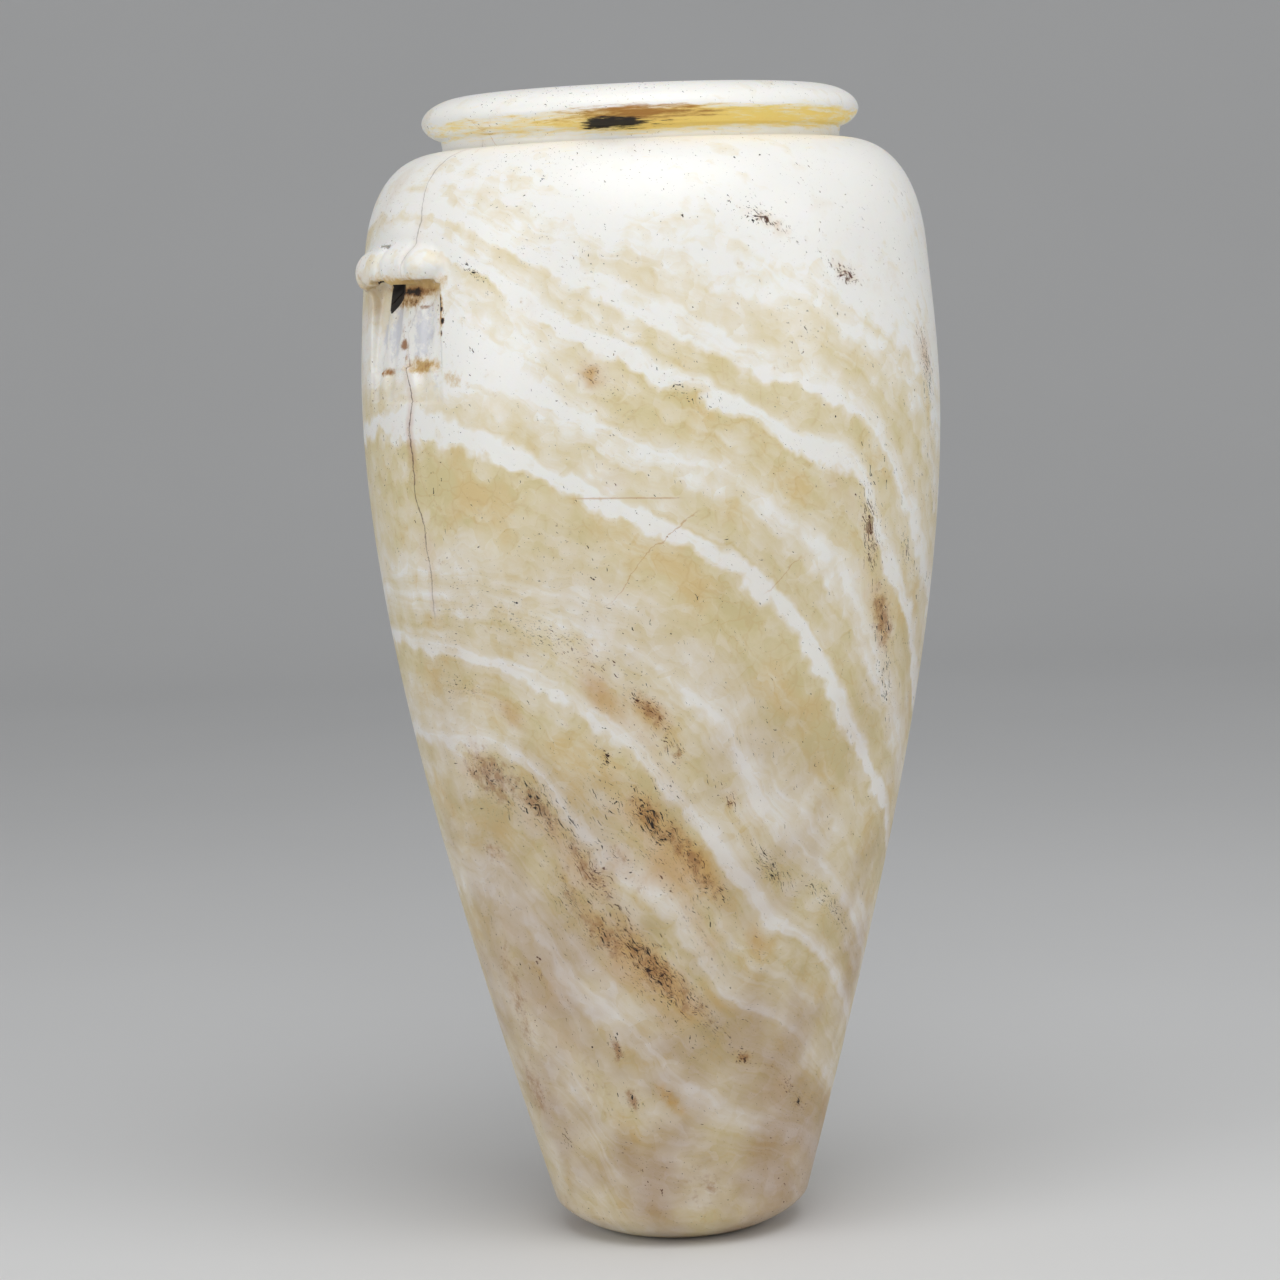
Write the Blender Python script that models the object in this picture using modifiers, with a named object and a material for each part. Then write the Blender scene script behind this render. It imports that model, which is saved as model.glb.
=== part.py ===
"""Tall lug-handled jar, carved from one block of banded calcite.

One solid: a hollow body on a small flat base, a rolled rim over a narrow neck, and two
opposed lugs. Each lug is a lobed bar standing proud of the wall over a recess, with three
drilled channels and a blind drill hole in it, and one cord slot that runs up behind the
bar. The origin is at the middle of the base, +Z is up and the lugs lie on the X axis.
"""

import math

import bmesh
import bpy
from mathutils import Matrix, Vector
from mathutils.geometry import interpolate_bezier

# Outside of the body, from the ground up
BASE_RADIUS = 0.0300        # flat underside
FOOT_RADIUS = 0.0512        # where the rounded foot edge ends
FOOT_HEIGHT = 0.0124
FOOT_LEAN_DEG = 15.9        # lean of the wall from upright, just above the foot
FOOT_PULL = 0.128           # how far the wall keeps that lean
BELLY_RADIUS = 0.1144       # widest place
BELLY_HEIGHT = 0.3324
BELLY_PULL_DOWN = 0.088     # how far below the belly the wall stays near upright
BELLY_PULL_UP = 0.021
BREAK_INSET = 0.0034        # the shoulder starts this much inside the belly
BREAK_RISE = 0.0560         # and this much above it
BREAK_LEAN_DEG = 4.1
BREAK_PULL_DOWN = 0.007     # how far the wall and the shoulder keep that lean
BREAK_PULL_UP = 0.027
SHOULDER_RISE = 0.0435      # from the break up to where the shoulder meets the neck
SHOULDER_PULL = 0.0204      # how far it runs flat there
NECK_RADIUS = 0.0782
FOOT_POWER = 1.38           # 1 is a straight bevel, 2 a quarter circle

# Heights that follow from these
BREAK_HEIGHT = BELLY_HEIGHT + BREAK_RISE
SHOULDER_TOP = BREAK_HEIGHT + SHOULDER_RISE

# Neck and rolled rim
NECK_RISE = 0.0048          # from the shoulder's top to the rim's underside
RIM_RADIUS = 0.0860
RIM_THICKNESS = 0.0160
LIP_RADIUS = 0.0705         # crest of the rim, seen from above
RIM_MIDDLE = 0.42           # height of its widest place, as a share of its thickness
RIM_STEP = 0.0006           # its underside starts this much outside the neck
RIM_UNDER_IN = 0.0030       # pulls that round the roll, from the neck to the bore
RIM_UNDER_RISE = 0.0010
RIM_PULL_DOWN = 0.0024
RIM_PULL_UP = 0.0050
LIP_PULL_OUT = 0.0075
LIP_PULL_IN = 0.0050
BORE_PULL = 0.0040

# Hollow
MOUTH_RADIUS = 0.0620
MOUTH_EDGE = 0.0040         # rounding of the bore's lower edge
WALL = 0.0145
FLOOR = 0.0300
FLOOR_ROUND = 0.0340        # height of the curve between wall and floor
FLOOR_FLAT = 0.75           # share of the floor's radius that stays near level
FLOOR_LEAN = 0.0060         # how far in the wall leans at the top of that curve
FLOOR_BEND = 0.55           # share of the curve's height that keeps that lean

# Lugs
LUG_DROP = 0.0014           # from the break down to the middle of the bar
LUG_HEIGHT = BREAK_HEIGHT - LUG_DROP
BAR_RADIUS = 0.0085
BAR_PROUD = 0.0080          # how far the bar stands out of the wall
BAR_LEFT_DEG = 11.4         # left and right as seen from outside, from the cord slot
BAR_RIGHT_DEG = 19.0
BAR_LEFT_ROUND = 0.0090     # length over which the left end rounds off
BAR_RIGHT_ROUND = 0.0330    # the right end is worn down into the wall
BAR_TIP = 0.12              # thinnest share of the bar's radius, at its tips
BAR_GROOVES_DEG = (2.5, 10.5, 17.0)
BAR_GROOVE_DEPTH = 0.0011
BAR_GROOVE_WIDTH = 0.0022

RECESS_LEFT_DEG = 8.6
RECESS_RIGHT_DEG = 17.6
RECESS_DROP = 0.0370        # from the bar's middle down to the ledge
RECESS_TOP_DEPTH = 0.0042
RECESS_LEDGE_DEPTH = 0.0022
RECESS_REACH = 0.0320       # how far outside the belly its cutter ends
BAR_UNDERCUT = 0.0060       # from the bar's middle down to the recess's ceiling

CHANNEL_PLACES_DEG = (5.4, -0.6, -12.4)
CHANNEL_RADII = (0.0045, 0.0064, 0.0078)
CHANNEL_DEPTH = 0.0062      # below the wall, at the ceiling
CHANNEL_FADE_DEPTH = 0.0024
CHANNEL_REACH = 0.0016      # how far a channel bites up into the bar

BLIND_PLACE_DEG = 3.0       # the drill hole that stops inside the bar
BLIND_RADIUS = 0.0040
BLIND_DEPTH = 0.0042        # axis below the wall, at the ceiling
BLIND_UP = 0.0046           # above and below the ceiling
BLIND_DOWN = 0.0120

SLOT_WIDTH = 0.0096         # cord slot, along the bar
SLOT_GAP = 0.0048           # cord slot, out from the wall
SLOT_INSET = 0.0006         # its back lies this far inside the wall, at the bar's top
SLOT_ROUND = 0.0020
SLOT_UP = 0.0150            # above and below the bar's middle
SLOT_DOWN = 0.0150

# Fineness
FOOT_POINTS = 4
WALL_POINTS = 13
TURN_POINTS = 4
SHOULDER_POINTS = 9
RIM_POINTS = 5
BORE_POINTS = 4
FLOOR_POINTS = 6
SEGMENTS = 64
RECESS_STEPS = 8
CHANNEL_SIDES = 20
BLIND_SIDES = 16
SLOT_CORNER_STEPS = 3
BAR_STEP_DEG = 1.375
BAR_FEWEST_STEPS = 8
BAR_BEVEL_RESOLUTION = 3
MERGE = 0.00001


def bezier(start, handle_a, handle_b, end, count):
    """Points along one cubic curve in the radius-height plane."""
    flat = [Vector((p[0], p[1], 0.0)) for p in (start, handle_a, handle_b, end)]
    return [(p.x, p.y) for p in interpolate_bezier(*flat, count)]


def leaning(point, degrees, length):
    """The point reached from another one by going up a line that leans from upright."""
    angle = math.radians(degrees)
    return (point[0] + length * math.sin(angle), point[1] + length * math.cos(angle))


def body_outline():
    """Outer side from the foot up to the neck, as (radius, height)."""
    foot = (FOOT_RADIUS, FOOT_HEIGHT)
    belly = (BELLY_RADIUS, BELLY_HEIGHT)
    shoulder = (BELLY_RADIUS - BREAK_INSET, BREAK_HEIGHT)
    root = (NECK_RADIUS, SHOULDER_TOP)
    wall = bezier(foot, leaning(foot, FOOT_LEAN_DEG, FOOT_PULL),
                  (belly[0], belly[1] - BELLY_PULL_DOWN), belly, WALL_POINTS)
    turn = bezier(belly, (belly[0], belly[1] + BELLY_PULL_UP),
                  leaning(shoulder, -BREAK_LEAN_DEG, -BREAK_PULL_DOWN), shoulder,
                  TURN_POINTS)
    top = bezier(shoulder, leaning(shoulder, -BREAK_LEAN_DEG, BREAK_PULL_UP),
                 (root[0] + SHOULDER_PULL, root[1]), root, SHOULDER_POINTS)
    return wall + turn[1:] + top[1:]


def foot_outline():
    """Rounded edge from the flat base up to the foot, a flattened quarter curve."""
    points = []
    for i in range(FOOT_POINTS):
        angle = math.pi / 2 * i / FOOT_POINTS
        out = math.sin(angle) ** (2 / FOOT_POWER)
        rise = 1 - math.cos(angle) ** (2 / FOOT_POWER)
        points.append((BASE_RADIUS + (FOOT_RADIUS - BASE_RADIUS) * out, FOOT_HEIGHT * rise))
    return points


def rim_outline():
    """Rolled rim, from its underside at the neck, round the outside, to the mouth."""
    under = SHOULDER_TOP + NECK_RISE
    top = under + RIM_THICKNESS
    middle = under + RIM_THICKNESS * RIM_MIDDLE
    neck = (NECK_RADIUS + RIM_STEP, under)
    outer = (RIM_RADIUS, middle)
    crest = (LIP_RADIUS, top)
    bore = (MOUTH_RADIUS, middle)
    below = bezier(neck, (outer[0] - RIM_UNDER_IN, under + RIM_UNDER_RISE),
                   (outer[0], middle - RIM_PULL_DOWN), outer, RIM_POINTS)
    above = bezier(outer, (outer[0], middle + RIM_PULL_UP),
                   (crest[0] + LIP_PULL_OUT, top), crest, RIM_POINTS)
    inner = bezier(crest, (crest[0] - LIP_PULL_IN, top),
                   (bore[0], middle + BORE_PULL), bore, BORE_POINTS)
    return below + above[1:] + inner[1:]


def wall_radius(height):
    """Outer radius of the body at a height, between the outline's points."""
    outline = body_outline()
    for (r0, z0), (r1, z1) in zip(outline, outline[1:]):
        if z0 <= height <= z1:
            return r0 + (r1 - r0) * (height - z0) / (z1 - z0)
    return outline[-1][0]


def hollow_outline():
    """Inner side from the middle of the floor up to the bore, one wall inside the outer."""
    outline = body_outline()
    points = []
    for before, here, after in zip(outline, outline[1:], outline[2:]):
        along = Vector((after[0] - before[0], after[1] - before[1])).normalized()
        inside = (here[0] - along.y * WALL, here[1] + along.x * WALL)
        if inside[1] > FLOOR + FLOOR_ROUND and inside[0] > MOUTH_RADIUS + MOUTH_EDGE:
            points.append(inside)
    points = points[::2] if len(points) % 2 else points[::2] + points[-1:]
    start = points[0]
    floor = bezier((0.0, FLOOR), (start[0] * FLOOR_FLAT, FLOOR),
                   (start[0] - FLOOR_LEAN, start[1] - FLOOR_ROUND * FLOOR_BEND),
                   start, FLOOR_POINTS)
    roof = SHOULDER_TOP - WALL
    bulge = MOUTH_EDGE * (1 - math.sqrt(0.5))
    edge = [(MOUTH_RADIUS + MOUTH_EDGE, roof),
            (MOUTH_RADIUS + bulge, roof + bulge),
            (MOUTH_RADIUS, roof + MOUTH_EDGE)]
    return floor[:-1] + points + edge


def jar_outline():
    """Whole profile: inside from the floor up, over the rim and down the outer side."""
    outside = foot_outline() + body_outline()
    return hollow_outline() + rim_outline()[::-1] + outside[::-1] + [(0.0, 0.0)]


def new_object(name, mesh, collection, material=None):
    obj = bpy.data.objects.new(name, mesh)
    collection.objects.link(obj)
    if material:
        obj.data.materials.append(material)
    return obj


def as_cutter(obj):
    obj.display_type = 'WIRE'
    obj.hide_render = True
    return obj


def finish_mesh(name, bm):
    bmesh.ops.remove_doubles(bm, verts=bm.verts, dist=MERGE)
    bmesh.ops.recalc_face_normals(bm, faces=bm.faces)
    mesh = bpy.data.meshes.new(name)
    bm.to_mesh(mesh)
    bm.free()
    mesh.shade_smooth()
    return mesh


def calcite_material():
    """Cream calcite, ground smooth and a little waxy."""
    material = bpy.data.materials.new("banded calcite")
    material.use_nodes = True
    shader = material.node_tree.nodes["Principled BSDF"]
    shader.inputs["Base Color"].default_value = (0.78, 0.72, 0.58, 1.0)
    shader.inputs["Roughness"].default_value = 0.42
    shader.inputs["Metallic"].default_value = 0.0
    return material


def turned_jar(collection, material):
    """The vessel without its lugs: one profile turned round the upright axis."""
    bm = bmesh.new()
    verts = [bm.verts.new((r, 0.0, z)) for r, z in jar_outline()]
    for a, b in zip(verts, verts[1:]):
        bm.edges.new((a, b))
    mesh = bpy.data.meshes.new("jar")
    bm.to_mesh(mesh)
    bm.free()
    jar = new_object("jar", mesh, collection, material)
    screw = jar.modifiers.new("turned", 'SCREW')
    screw.angle = math.tau
    screw.steps = SEGMENTS
    screw.render_steps = SEGMENTS
    screw.use_merge_vertices = True
    screw.merge_threshold = MERGE
    screw.use_smooth_shade = True
    return jar


def lug_point(left_deg, radius, height):
    """A point of the lug on -X. left_deg is counted to the left, seen from outside."""
    angle = math.pi - math.radians(left_deg)
    return Vector((radius * math.cos(angle), radius * math.sin(angle), height))


def round_off(distance, length):
    """Grows from 0 at an end to 1 at the given length, like a quarter circle."""
    gone = 1.0 - min(max(distance / length, 0.0), 1.0)
    return math.sqrt(1.0 - gone * gone)


def bar_radius(left_deg, arm):
    """Radius of the bar at one place: rounded ends and shallow grooves between lobes."""
    from_left = math.radians(BAR_LEFT_DEG - left_deg) * arm
    from_right = math.radians(BAR_RIGHT_DEG + left_deg) * arm
    radius = BAR_RADIUS
    radius *= round_off(from_left, BAR_LEFT_ROUND)
    radius *= round_off(from_right, BAR_RIGHT_ROUND)
    for groove in BAR_GROOVES_DEG:
        away = math.radians(left_deg + groove) * arm / BAR_GROOVE_WIDTH
        radius -= BAR_GROOVE_DEPTH * math.exp(-away * away)
    return max(radius, BAR_RADIUS * BAR_TIP)


def lug_bar(collection):
    """The lobed bar, a curve bent round the wall with a radius of its own at each point."""
    arm = wall_radius(LUG_HEIGHT) + BAR_PROUD - BAR_RADIUS
    span = BAR_LEFT_DEG + BAR_RIGHT_DEG
    count = max(BAR_FEWEST_STEPS, round(span / BAR_STEP_DEG))
    data = bpy.data.curves.new("lug bar", 'CURVE')
    data.dimensions = '3D'
    data.bevel_depth = 1.0
    data.bevel_resolution = BAR_BEVEL_RESOLUTION
    data.use_fill_caps = True
    spline = data.splines.new('POLY')
    spline.points.add(count)
    for i, point in enumerate(spline.points):
        left = BAR_LEFT_DEG - span * i / count
        point.co = (*lug_point(left, arm, LUG_HEIGHT), 1.0)
        point.radius = bar_radius(left, arm)
    curve = new_object("lug bar curve", data, collection)
    graph = bpy.context.evaluated_depsgraph_get()
    mesh = bpy.data.meshes.new_from_object(curve.evaluated_get(graph))
    bm = bmesh.new()
    bm.from_mesh(mesh)
    bpy.data.meshes.remove(mesh)
    bpy.data.objects.remove(curve)
    return as_cutter(new_object("lug bar", finish_mesh("lug bar", bm), collection))


def recess_cutter(collection):
    """Wedge-shaped sector that sinks the recess: deep under the bar, shallow at the ledge."""
    ceiling = LUG_HEIGHT - BAR_UNDERCUT
    ledge = LUG_HEIGHT - RECESS_DROP
    outside = BELLY_RADIUS + RECESS_REACH
    section = [(wall_radius(ceiling) - RECESS_TOP_DEPTH, ceiling),
               (wall_radius(ledge) - RECESS_LEDGE_DEPTH, ledge + RECESS_LEDGE_DEPTH),
               (wall_radius(ledge) + BAR_PROUD, ledge - BAR_PROUD),
               (outside, ledge),
               (outside, ceiling)]
    bm = bmesh.new()
    verts = [bm.verts.new(lug_point(RECESS_LEFT_DEG, r, z)) for r, z in section]
    face = bm.faces.new(verts)
    bmesh.ops.spin(bm, geom=[face], cent=(0, 0, 0), axis=(0, 0, 1), steps=RECESS_STEPS,
                   angle=math.radians(RECESS_LEFT_DEG + RECESS_RIGHT_DEG))
    return as_cutter(new_object("recess cutter", finish_mesh("recess cutter", bm), collection))


def drill(name, low, high, radius, sides, collection):
    """A round cutter between two points, as a drill would leave it."""
    along = high - low
    bm = bmesh.new()
    bmesh.ops.create_cone(bm, cap_ends=True, segments=sides, radius1=radius, radius2=radius,
                          depth=along.length)
    tilt = along.to_track_quat('Z', 'Y').to_matrix().to_4x4()
    place = Matrix.Translation((low + high) / 2) @ tilt
    bmesh.ops.transform(bm, matrix=place, verts=bm.verts)
    return as_cutter(new_object(name, finish_mesh(name, bm), collection))


def channel_cutters(collection):
    """Three drilled channels, deepest at the ceiling and running out towards the ledge."""
    ceiling = LUG_HEIGHT - BAR_UNDERCUT
    ledge = LUG_HEIGHT - RECESS_DROP
    cutters = []
    for number, (left, radius) in enumerate(zip(CHANNEL_PLACES_DEG, CHANNEL_RADII), 1):
        deep = wall_radius(ceiling) - CHANNEL_DEPTH + radius
        shallow = wall_radius(ledge) - CHANNEL_FADE_DEPTH + radius
        high = lug_point(left, deep, ceiling)
        low = lug_point(left, shallow, ledge)
        along = (high - low).normalized()
        high += along * CHANNEL_REACH
        cutters.append(drill(f"channel {number}", low, high, radius, CHANNEL_SIDES, collection))
    return cutters


def blind_cutter(collection):
    """A drill hole beside the cord slot that ends inside the bar."""
    ceiling = LUG_HEIGHT - BAR_UNDERCUT
    arm = wall_radius(ceiling) - BLIND_DEPTH
    return drill("blind hole", lug_point(BLIND_PLACE_DEG, arm, ceiling - BLIND_DOWN),
                 lug_point(BLIND_PLACE_DEG, arm, ceiling + BLIND_UP),
                 BLIND_RADIUS, BLIND_SIDES, collection)


def slot_cutter(collection):
    """The cord slot: straight up between the wall and the bar, and out on top."""
    back = wall_radius(LUG_HEIGHT + BAR_RADIUS) - SLOT_INSET
    height = SLOT_UP + SLOT_DOWN
    bm = bmesh.new()
    bmesh.ops.create_cube(bm, size=1.0)
    bmesh.ops.scale(bm, vec=(SLOT_GAP, SLOT_WIDTH, height), verts=bm.verts)
    upright = [e for e in bm.edges if abs(e.verts[0].co.z - e.verts[1].co.z) > height / 2]
    bmesh.ops.bevel(bm, geom=upright, offset=SLOT_ROUND, segments=SLOT_CORNER_STEPS,
                    profile=0.5, affect='EDGES', material=-1)
    middle = lug_point(0.0, back + SLOT_GAP / 2, LUG_HEIGHT + (SLOT_UP - SLOT_DOWN) / 2)
    bmesh.ops.translate(bm, vec=middle, verts=bm.verts)
    return as_cutter(new_object("cord slot", finish_mesh("cord slot", bm), collection))


def other_side(obj, collection):
    """A copy of a lug shape, turned half round the jar."""
    copy = new_object(obj.name + " opposite", obj.data.copy(), collection)
    copy.data.transform(Matrix.Rotation(math.pi, 4, 'Z'))
    return as_cutter(copy)


def add_boolean(obj, other, operation):
    modifier = obj.modifiers.new(other.name, 'BOOLEAN')
    modifier.operation = operation
    modifier.solver = 'EXACT'
    modifier.object = other


def main():
    for obj in list(bpy.data.objects):
        bpy.data.objects.remove(obj)
    parts = bpy.data.collections.new("Lug-handled jar")
    cutters = bpy.data.collections.new("Lug shapes and cutters")
    for collection in (parts, cutters):
        bpy.context.scene.collection.children.link(collection)
    jar = turned_jar(parts, calcite_material())
    bar = lug_bar(cutters)
    cuts = [recess_cutter(cutters), *channel_cutters(cutters), blind_cutter(cutters),
            slot_cutter(cutters)]
    for shape in (bar, other_side(bar, cutters)):
        add_boolean(jar, shape, 'UNION')
    for cut in cuts + [other_side(cut, cutters) for cut in cuts]:
        add_boolean(jar, cut, 'DIFFERENCE')


main()
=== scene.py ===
# %% [markdown]
# # A lug-handled jar of banded calcite
# The real jar was ground from one block of banded calcite: a tall hollow body on a small
# flat base, a rolled rim over a narrow neck, and two lugs for a carrying cord. This file
# dresses the fixed CAD frame of that jar. It makes one dense skin of the same sizes, works
# the lugs, and then gives the stone its layers, stains, cracks and pits.

import math

import bmesh
import bpy
import numpy as np
from mathutils import Matrix, Vector
from mathutils.geometry import interpolate_bezier


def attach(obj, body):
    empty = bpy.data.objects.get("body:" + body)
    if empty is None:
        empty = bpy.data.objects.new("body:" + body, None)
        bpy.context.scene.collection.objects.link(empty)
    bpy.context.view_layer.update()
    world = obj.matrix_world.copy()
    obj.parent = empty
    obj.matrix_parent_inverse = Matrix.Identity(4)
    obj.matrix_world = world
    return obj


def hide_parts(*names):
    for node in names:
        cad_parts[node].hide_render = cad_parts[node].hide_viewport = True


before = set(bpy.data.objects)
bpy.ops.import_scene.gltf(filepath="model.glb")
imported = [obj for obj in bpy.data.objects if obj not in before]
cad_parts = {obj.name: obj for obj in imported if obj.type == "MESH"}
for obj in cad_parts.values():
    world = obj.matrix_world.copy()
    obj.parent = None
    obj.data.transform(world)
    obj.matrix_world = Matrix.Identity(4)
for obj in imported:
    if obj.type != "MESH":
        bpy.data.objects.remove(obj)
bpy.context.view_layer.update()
print("nodes in the frame:", sorted(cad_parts))

# %% [markdown]
# ## The camera
# The view was worked out before anything else: the ellipses of the foot and the rim give
# the pitch, the leaning axis gives the roll, and the way the two ellipses differ gives the
# distance. The lugs lie on the X axis, so the camera stands 28 degrees round from the
# front, where the left lug shows half turned away. One pixel of the picture covers 0.4 mm
# at the jar's axis.

# %% Camera at the photograph's angle
PIXEL = 0.0004            # metres at the jar's axis for one pixel of the picture
PICTURE_PIXELS = 1280
VIEW_PIXELS = 3475        # how far off the camera stands, in the same pixels
VIEW_TURN_DEG = -28.0
VIEW_PITCH_DEG = 5.71
VIEW_ROLL_DEG = 2.28
VIEW_DISTANCE = VIEW_PIXELS * PIXEL
VIEW_AIM = Vector((-20.3 * PIXEL, 0.0, 591 * PIXEL))
SENSOR_MM = 36.0


def aimed_camera():
    """A camera that looks at VIEW_AIM, with the picture's turn, pitch and roll."""
    pitch, roll = math.radians(VIEW_PITCH_DEG), math.radians(VIEW_ROLL_DEG)
    ahead = Vector((0.0, math.cos(pitch), -math.sin(pitch)))
    across = Vector((1.0, 0.0, 0.0))
    upward = across.cross(ahead)
    right = across * math.cos(roll) - upward * math.sin(roll)
    top = upward * math.cos(roll) + across * math.sin(roll)
    turn = Matrix.Rotation(math.radians(VIEW_TURN_DEG), 4, 'Z')
    axes = Matrix((right, top, -ahead)).transposed().to_4x4()
    data = bpy.data.cameras.new("view")
    data.sensor_width = SENSOR_MM
    data.lens = SENSOR_MM * VIEW_PIXELS / PICTURE_PIXELS
    data.clip_start = 0.01
    camera = bpy.data.objects.new("view", data)
    camera.matrix_world = turn @ Matrix.Translation(VIEW_AIM - ahead * VIEW_DISTANCE) @ axes
    bpy.context.scene.collection.objects.link(camera)
    bpy.context.scene.camera = camera
    return camera


print("camera at", [round(v, 3) for v in aimed_camera().matrix_world.translation])

# %% [markdown]
# ## The profile
# A vessel that is round about one axis is one drawn line, turned. The line could be traced
# by hand, but a few smooth curves between named sizes keep it fair, as the maker's eye
# did. These are the sizes of the CAD jar, drawn with more points: about 3 mm apart on the
# outside, so that the light runs smoothly over the shoulder.

# %% Sizes of the jar, in metres
BASE_RADIUS, FOOT_RADIUS, FOOT_HEIGHT = 0.0300, 0.0512, 0.0124
FOOT_POWER, FOOT_LEAN_DEG, FOOT_PULL = 1.38, 15.9, 0.128
BELLY_RADIUS, BELLY_HEIGHT, BELLY_PULL_DOWN, BELLY_PULL_UP = 0.1144, 0.3324, 0.088, 0.021
BREAK_RADIUS, BREAK_HEIGHT, BREAK_LEAN_DEG = 0.1110, 0.3884, 4.1
BREAK_PULL_DOWN, BREAK_PULL_UP = 0.007, 0.027
SHOULDER_TOP, SHOULDER_PULL, NECK_RADIUS = 0.4319, 0.0204, 0.0782
RIM_UNDER, RIM_MIDDLE, RIM_TOP = 0.4367, 0.44342, 0.4527
RIM_RADIUS, LIP_RADIUS, MOUTH_RADIUS = 0.0860, 0.0705, 0.0620
WALL, FLOOR, FLOOR_ROUND, MOUTH_EDGE = 0.0145, 0.0300, 0.0340, 0.0040


def bezier(start, pull_a, pull_b, end, count):
    """Points along one cubic curve in the radius-height plane."""
    flat = [Vector((p[0], p[1], 0.0)) for p in (start, pull_a, pull_b, end)]
    return [(p.x, p.y) for p in interpolate_bezier(*flat, count)]


def leaning(point, degrees, length):
    """The point reached by going up a line that leans from upright."""
    angle = math.radians(degrees)
    return (point[0] + length * math.sin(angle), point[1] + length * math.cos(angle))


# %% Outside, from the base to the neck
def foot_line(count):
    """Rounded edge from the flat base up to the foot."""
    line = []
    for i in range(count):
        angle = math.pi / 2 * i / count
        out = math.sin(angle) ** (2 / FOOT_POWER)
        rise = 1 - math.cos(angle) ** (2 / FOOT_POWER)
        line.append((BASE_RADIUS + (FOOT_RADIUS - BASE_RADIUS) * out, FOOT_HEIGHT * rise))
    return line


def body_line(wall_count, turn_count, top_count):
    """From the foot over the belly and the shoulder to the neck."""
    foot = (FOOT_RADIUS, FOOT_HEIGHT)
    belly = (BELLY_RADIUS, BELLY_HEIGHT)
    shoulder = (BREAK_RADIUS, BREAK_HEIGHT)
    root = (NECK_RADIUS, SHOULDER_TOP)
    wall = bezier(foot, leaning(foot, FOOT_LEAN_DEG, FOOT_PULL),
                  (belly[0], belly[1] - BELLY_PULL_DOWN), belly, wall_count)
    over = bezier(belly, (belly[0], belly[1] + BELLY_PULL_UP),
                  leaning(shoulder, -BREAK_LEAN_DEG, -BREAK_PULL_DOWN), shoulder, turn_count)
    top = bezier(shoulder, leaning(shoulder, -BREAK_LEAN_DEG, BREAK_PULL_UP),
                 (root[0] + SHOULDER_PULL, root[1]), root, top_count)
    return wall + over[1:] + top[1:]


BODY = np.array(body_line(109, 20, 26))
print("outer wall:", len(BODY), "points, widest", round(BODY[:, 0].max() * 2000, 1), "mm")


# %% Rim and hollow
def rim_line():
    """The rolled rim, from its underside round the outside to the bore."""
    neck = (NECK_RADIUS + 0.0006, RIM_UNDER)
    outer = (RIM_RADIUS, RIM_MIDDLE)
    crest = (LIP_RADIUS, RIM_TOP)
    bore = (MOUTH_RADIUS, RIM_MIDDLE)
    below = bezier(neck, (outer[0] - 0.0030, RIM_UNDER + 0.0010),
                   (outer[0], outer[1] - 0.0024), outer, 9)
    above = bezier(outer, (outer[0], outer[1] + 0.0050),
                   (crest[0] + 0.0075, RIM_TOP), crest, 15)
    inner = bezier(crest, (crest[0] - 0.0050, RIM_TOP),
                   (bore[0], bore[1] + 0.0040), bore, 9)
    return below + above[1:] + inner[1:]


DRILL_RING = 0.00035      # depth of the rings that the boring left on the inside
DRILL_PITCH = 0.0125      # from one ring to the next


def hollow_line():
    """The inside, one wall behind the outside, from the middle of the floor to the bore."""
    wall = np.array(body_line(34, 7, 12))
    along = np.gradient(wall, axis=0)
    along /= np.linalg.norm(along, axis=1)[:, None]
    inside = wall + np.stack([-along[:, 1], along[:, 0]], 1) * WALL
    inside[:, 0] += DRILL_RING * np.sin(inside[:, 1] / DRILL_PITCH * math.tau)
    keep = (inside[:, 1] > FLOOR + FLOOR_ROUND) & (inside[:, 0] > MOUTH_RADIUS + MOUTH_EDGE)
    inside = [tuple(p) for p in inside[keep]]
    start = inside[0]
    floor = bezier((0.0, FLOOR), (start[0] * 0.75, FLOOR),
                   (start[0] - 0.0060, start[1] - FLOOR_ROUND * 0.55), start, 12)
    roof = SHOULDER_TOP - WALL
    corner = 0.3 * MOUTH_EDGE
    edge = [(MOUTH_RADIUS + MOUTH_EDGE, roof), (MOUTH_RADIUS + corner, roof + corner),
            (MOUTH_RADIUS, roof + MOUTH_EDGE), (MOUTH_RADIUS, roof + 0.0150)]
    return floor[:-1] + inside + edge


BASE_RINGS = 6
base = [(BASE_RADIUS * i / BASE_RINGS, 0.0) for i in range(BASE_RINGS)]
neck = [(NECK_RADIUS, SHOULDER_TOP + 0.0020)]
PROFILE = (base + foot_line(9) + [tuple(p) for p in BODY] + neck + rim_line()
           + hollow_line()[::-1])
print("whole profile:", len(PROFILE), "points")

# %% [markdown]
# ## Turning the skin
# The profile is a chain of edges, and `bmesh.ops.spin` sweeps it round the upright axis. A
# full spin needs `use_merge`, so that the last ring joins the first. The points on the
# axis are made once for every step, so doubles are merged to close both poles, and only
# then are the normals turned outwards.

# %% Spin the profile
STEPS = 184


def turned_skin(profile):
    bm = bmesh.new()
    points = [bm.verts.new((r, 0.0, z)) for r, z in profile]
    chain = [bm.edges.new(pair) for pair in zip(points, points[1:])]
    bmesh.ops.spin(bm, geom=points + chain, cent=(0, 0, 0), axis=(0, 0, 1),
                   angle=math.tau, steps=STEPS, use_merge=True)
    bmesh.ops.remove_doubles(bm, verts=bm.verts, dist=0.000001)
    bmesh.ops.recalc_face_normals(bm, faces=bm.faces)
    return bm


skin = turned_skin(PROFILE)
print("turned skin:", len(skin.verts), "points,", len(skin.faces), "faces")

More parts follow.
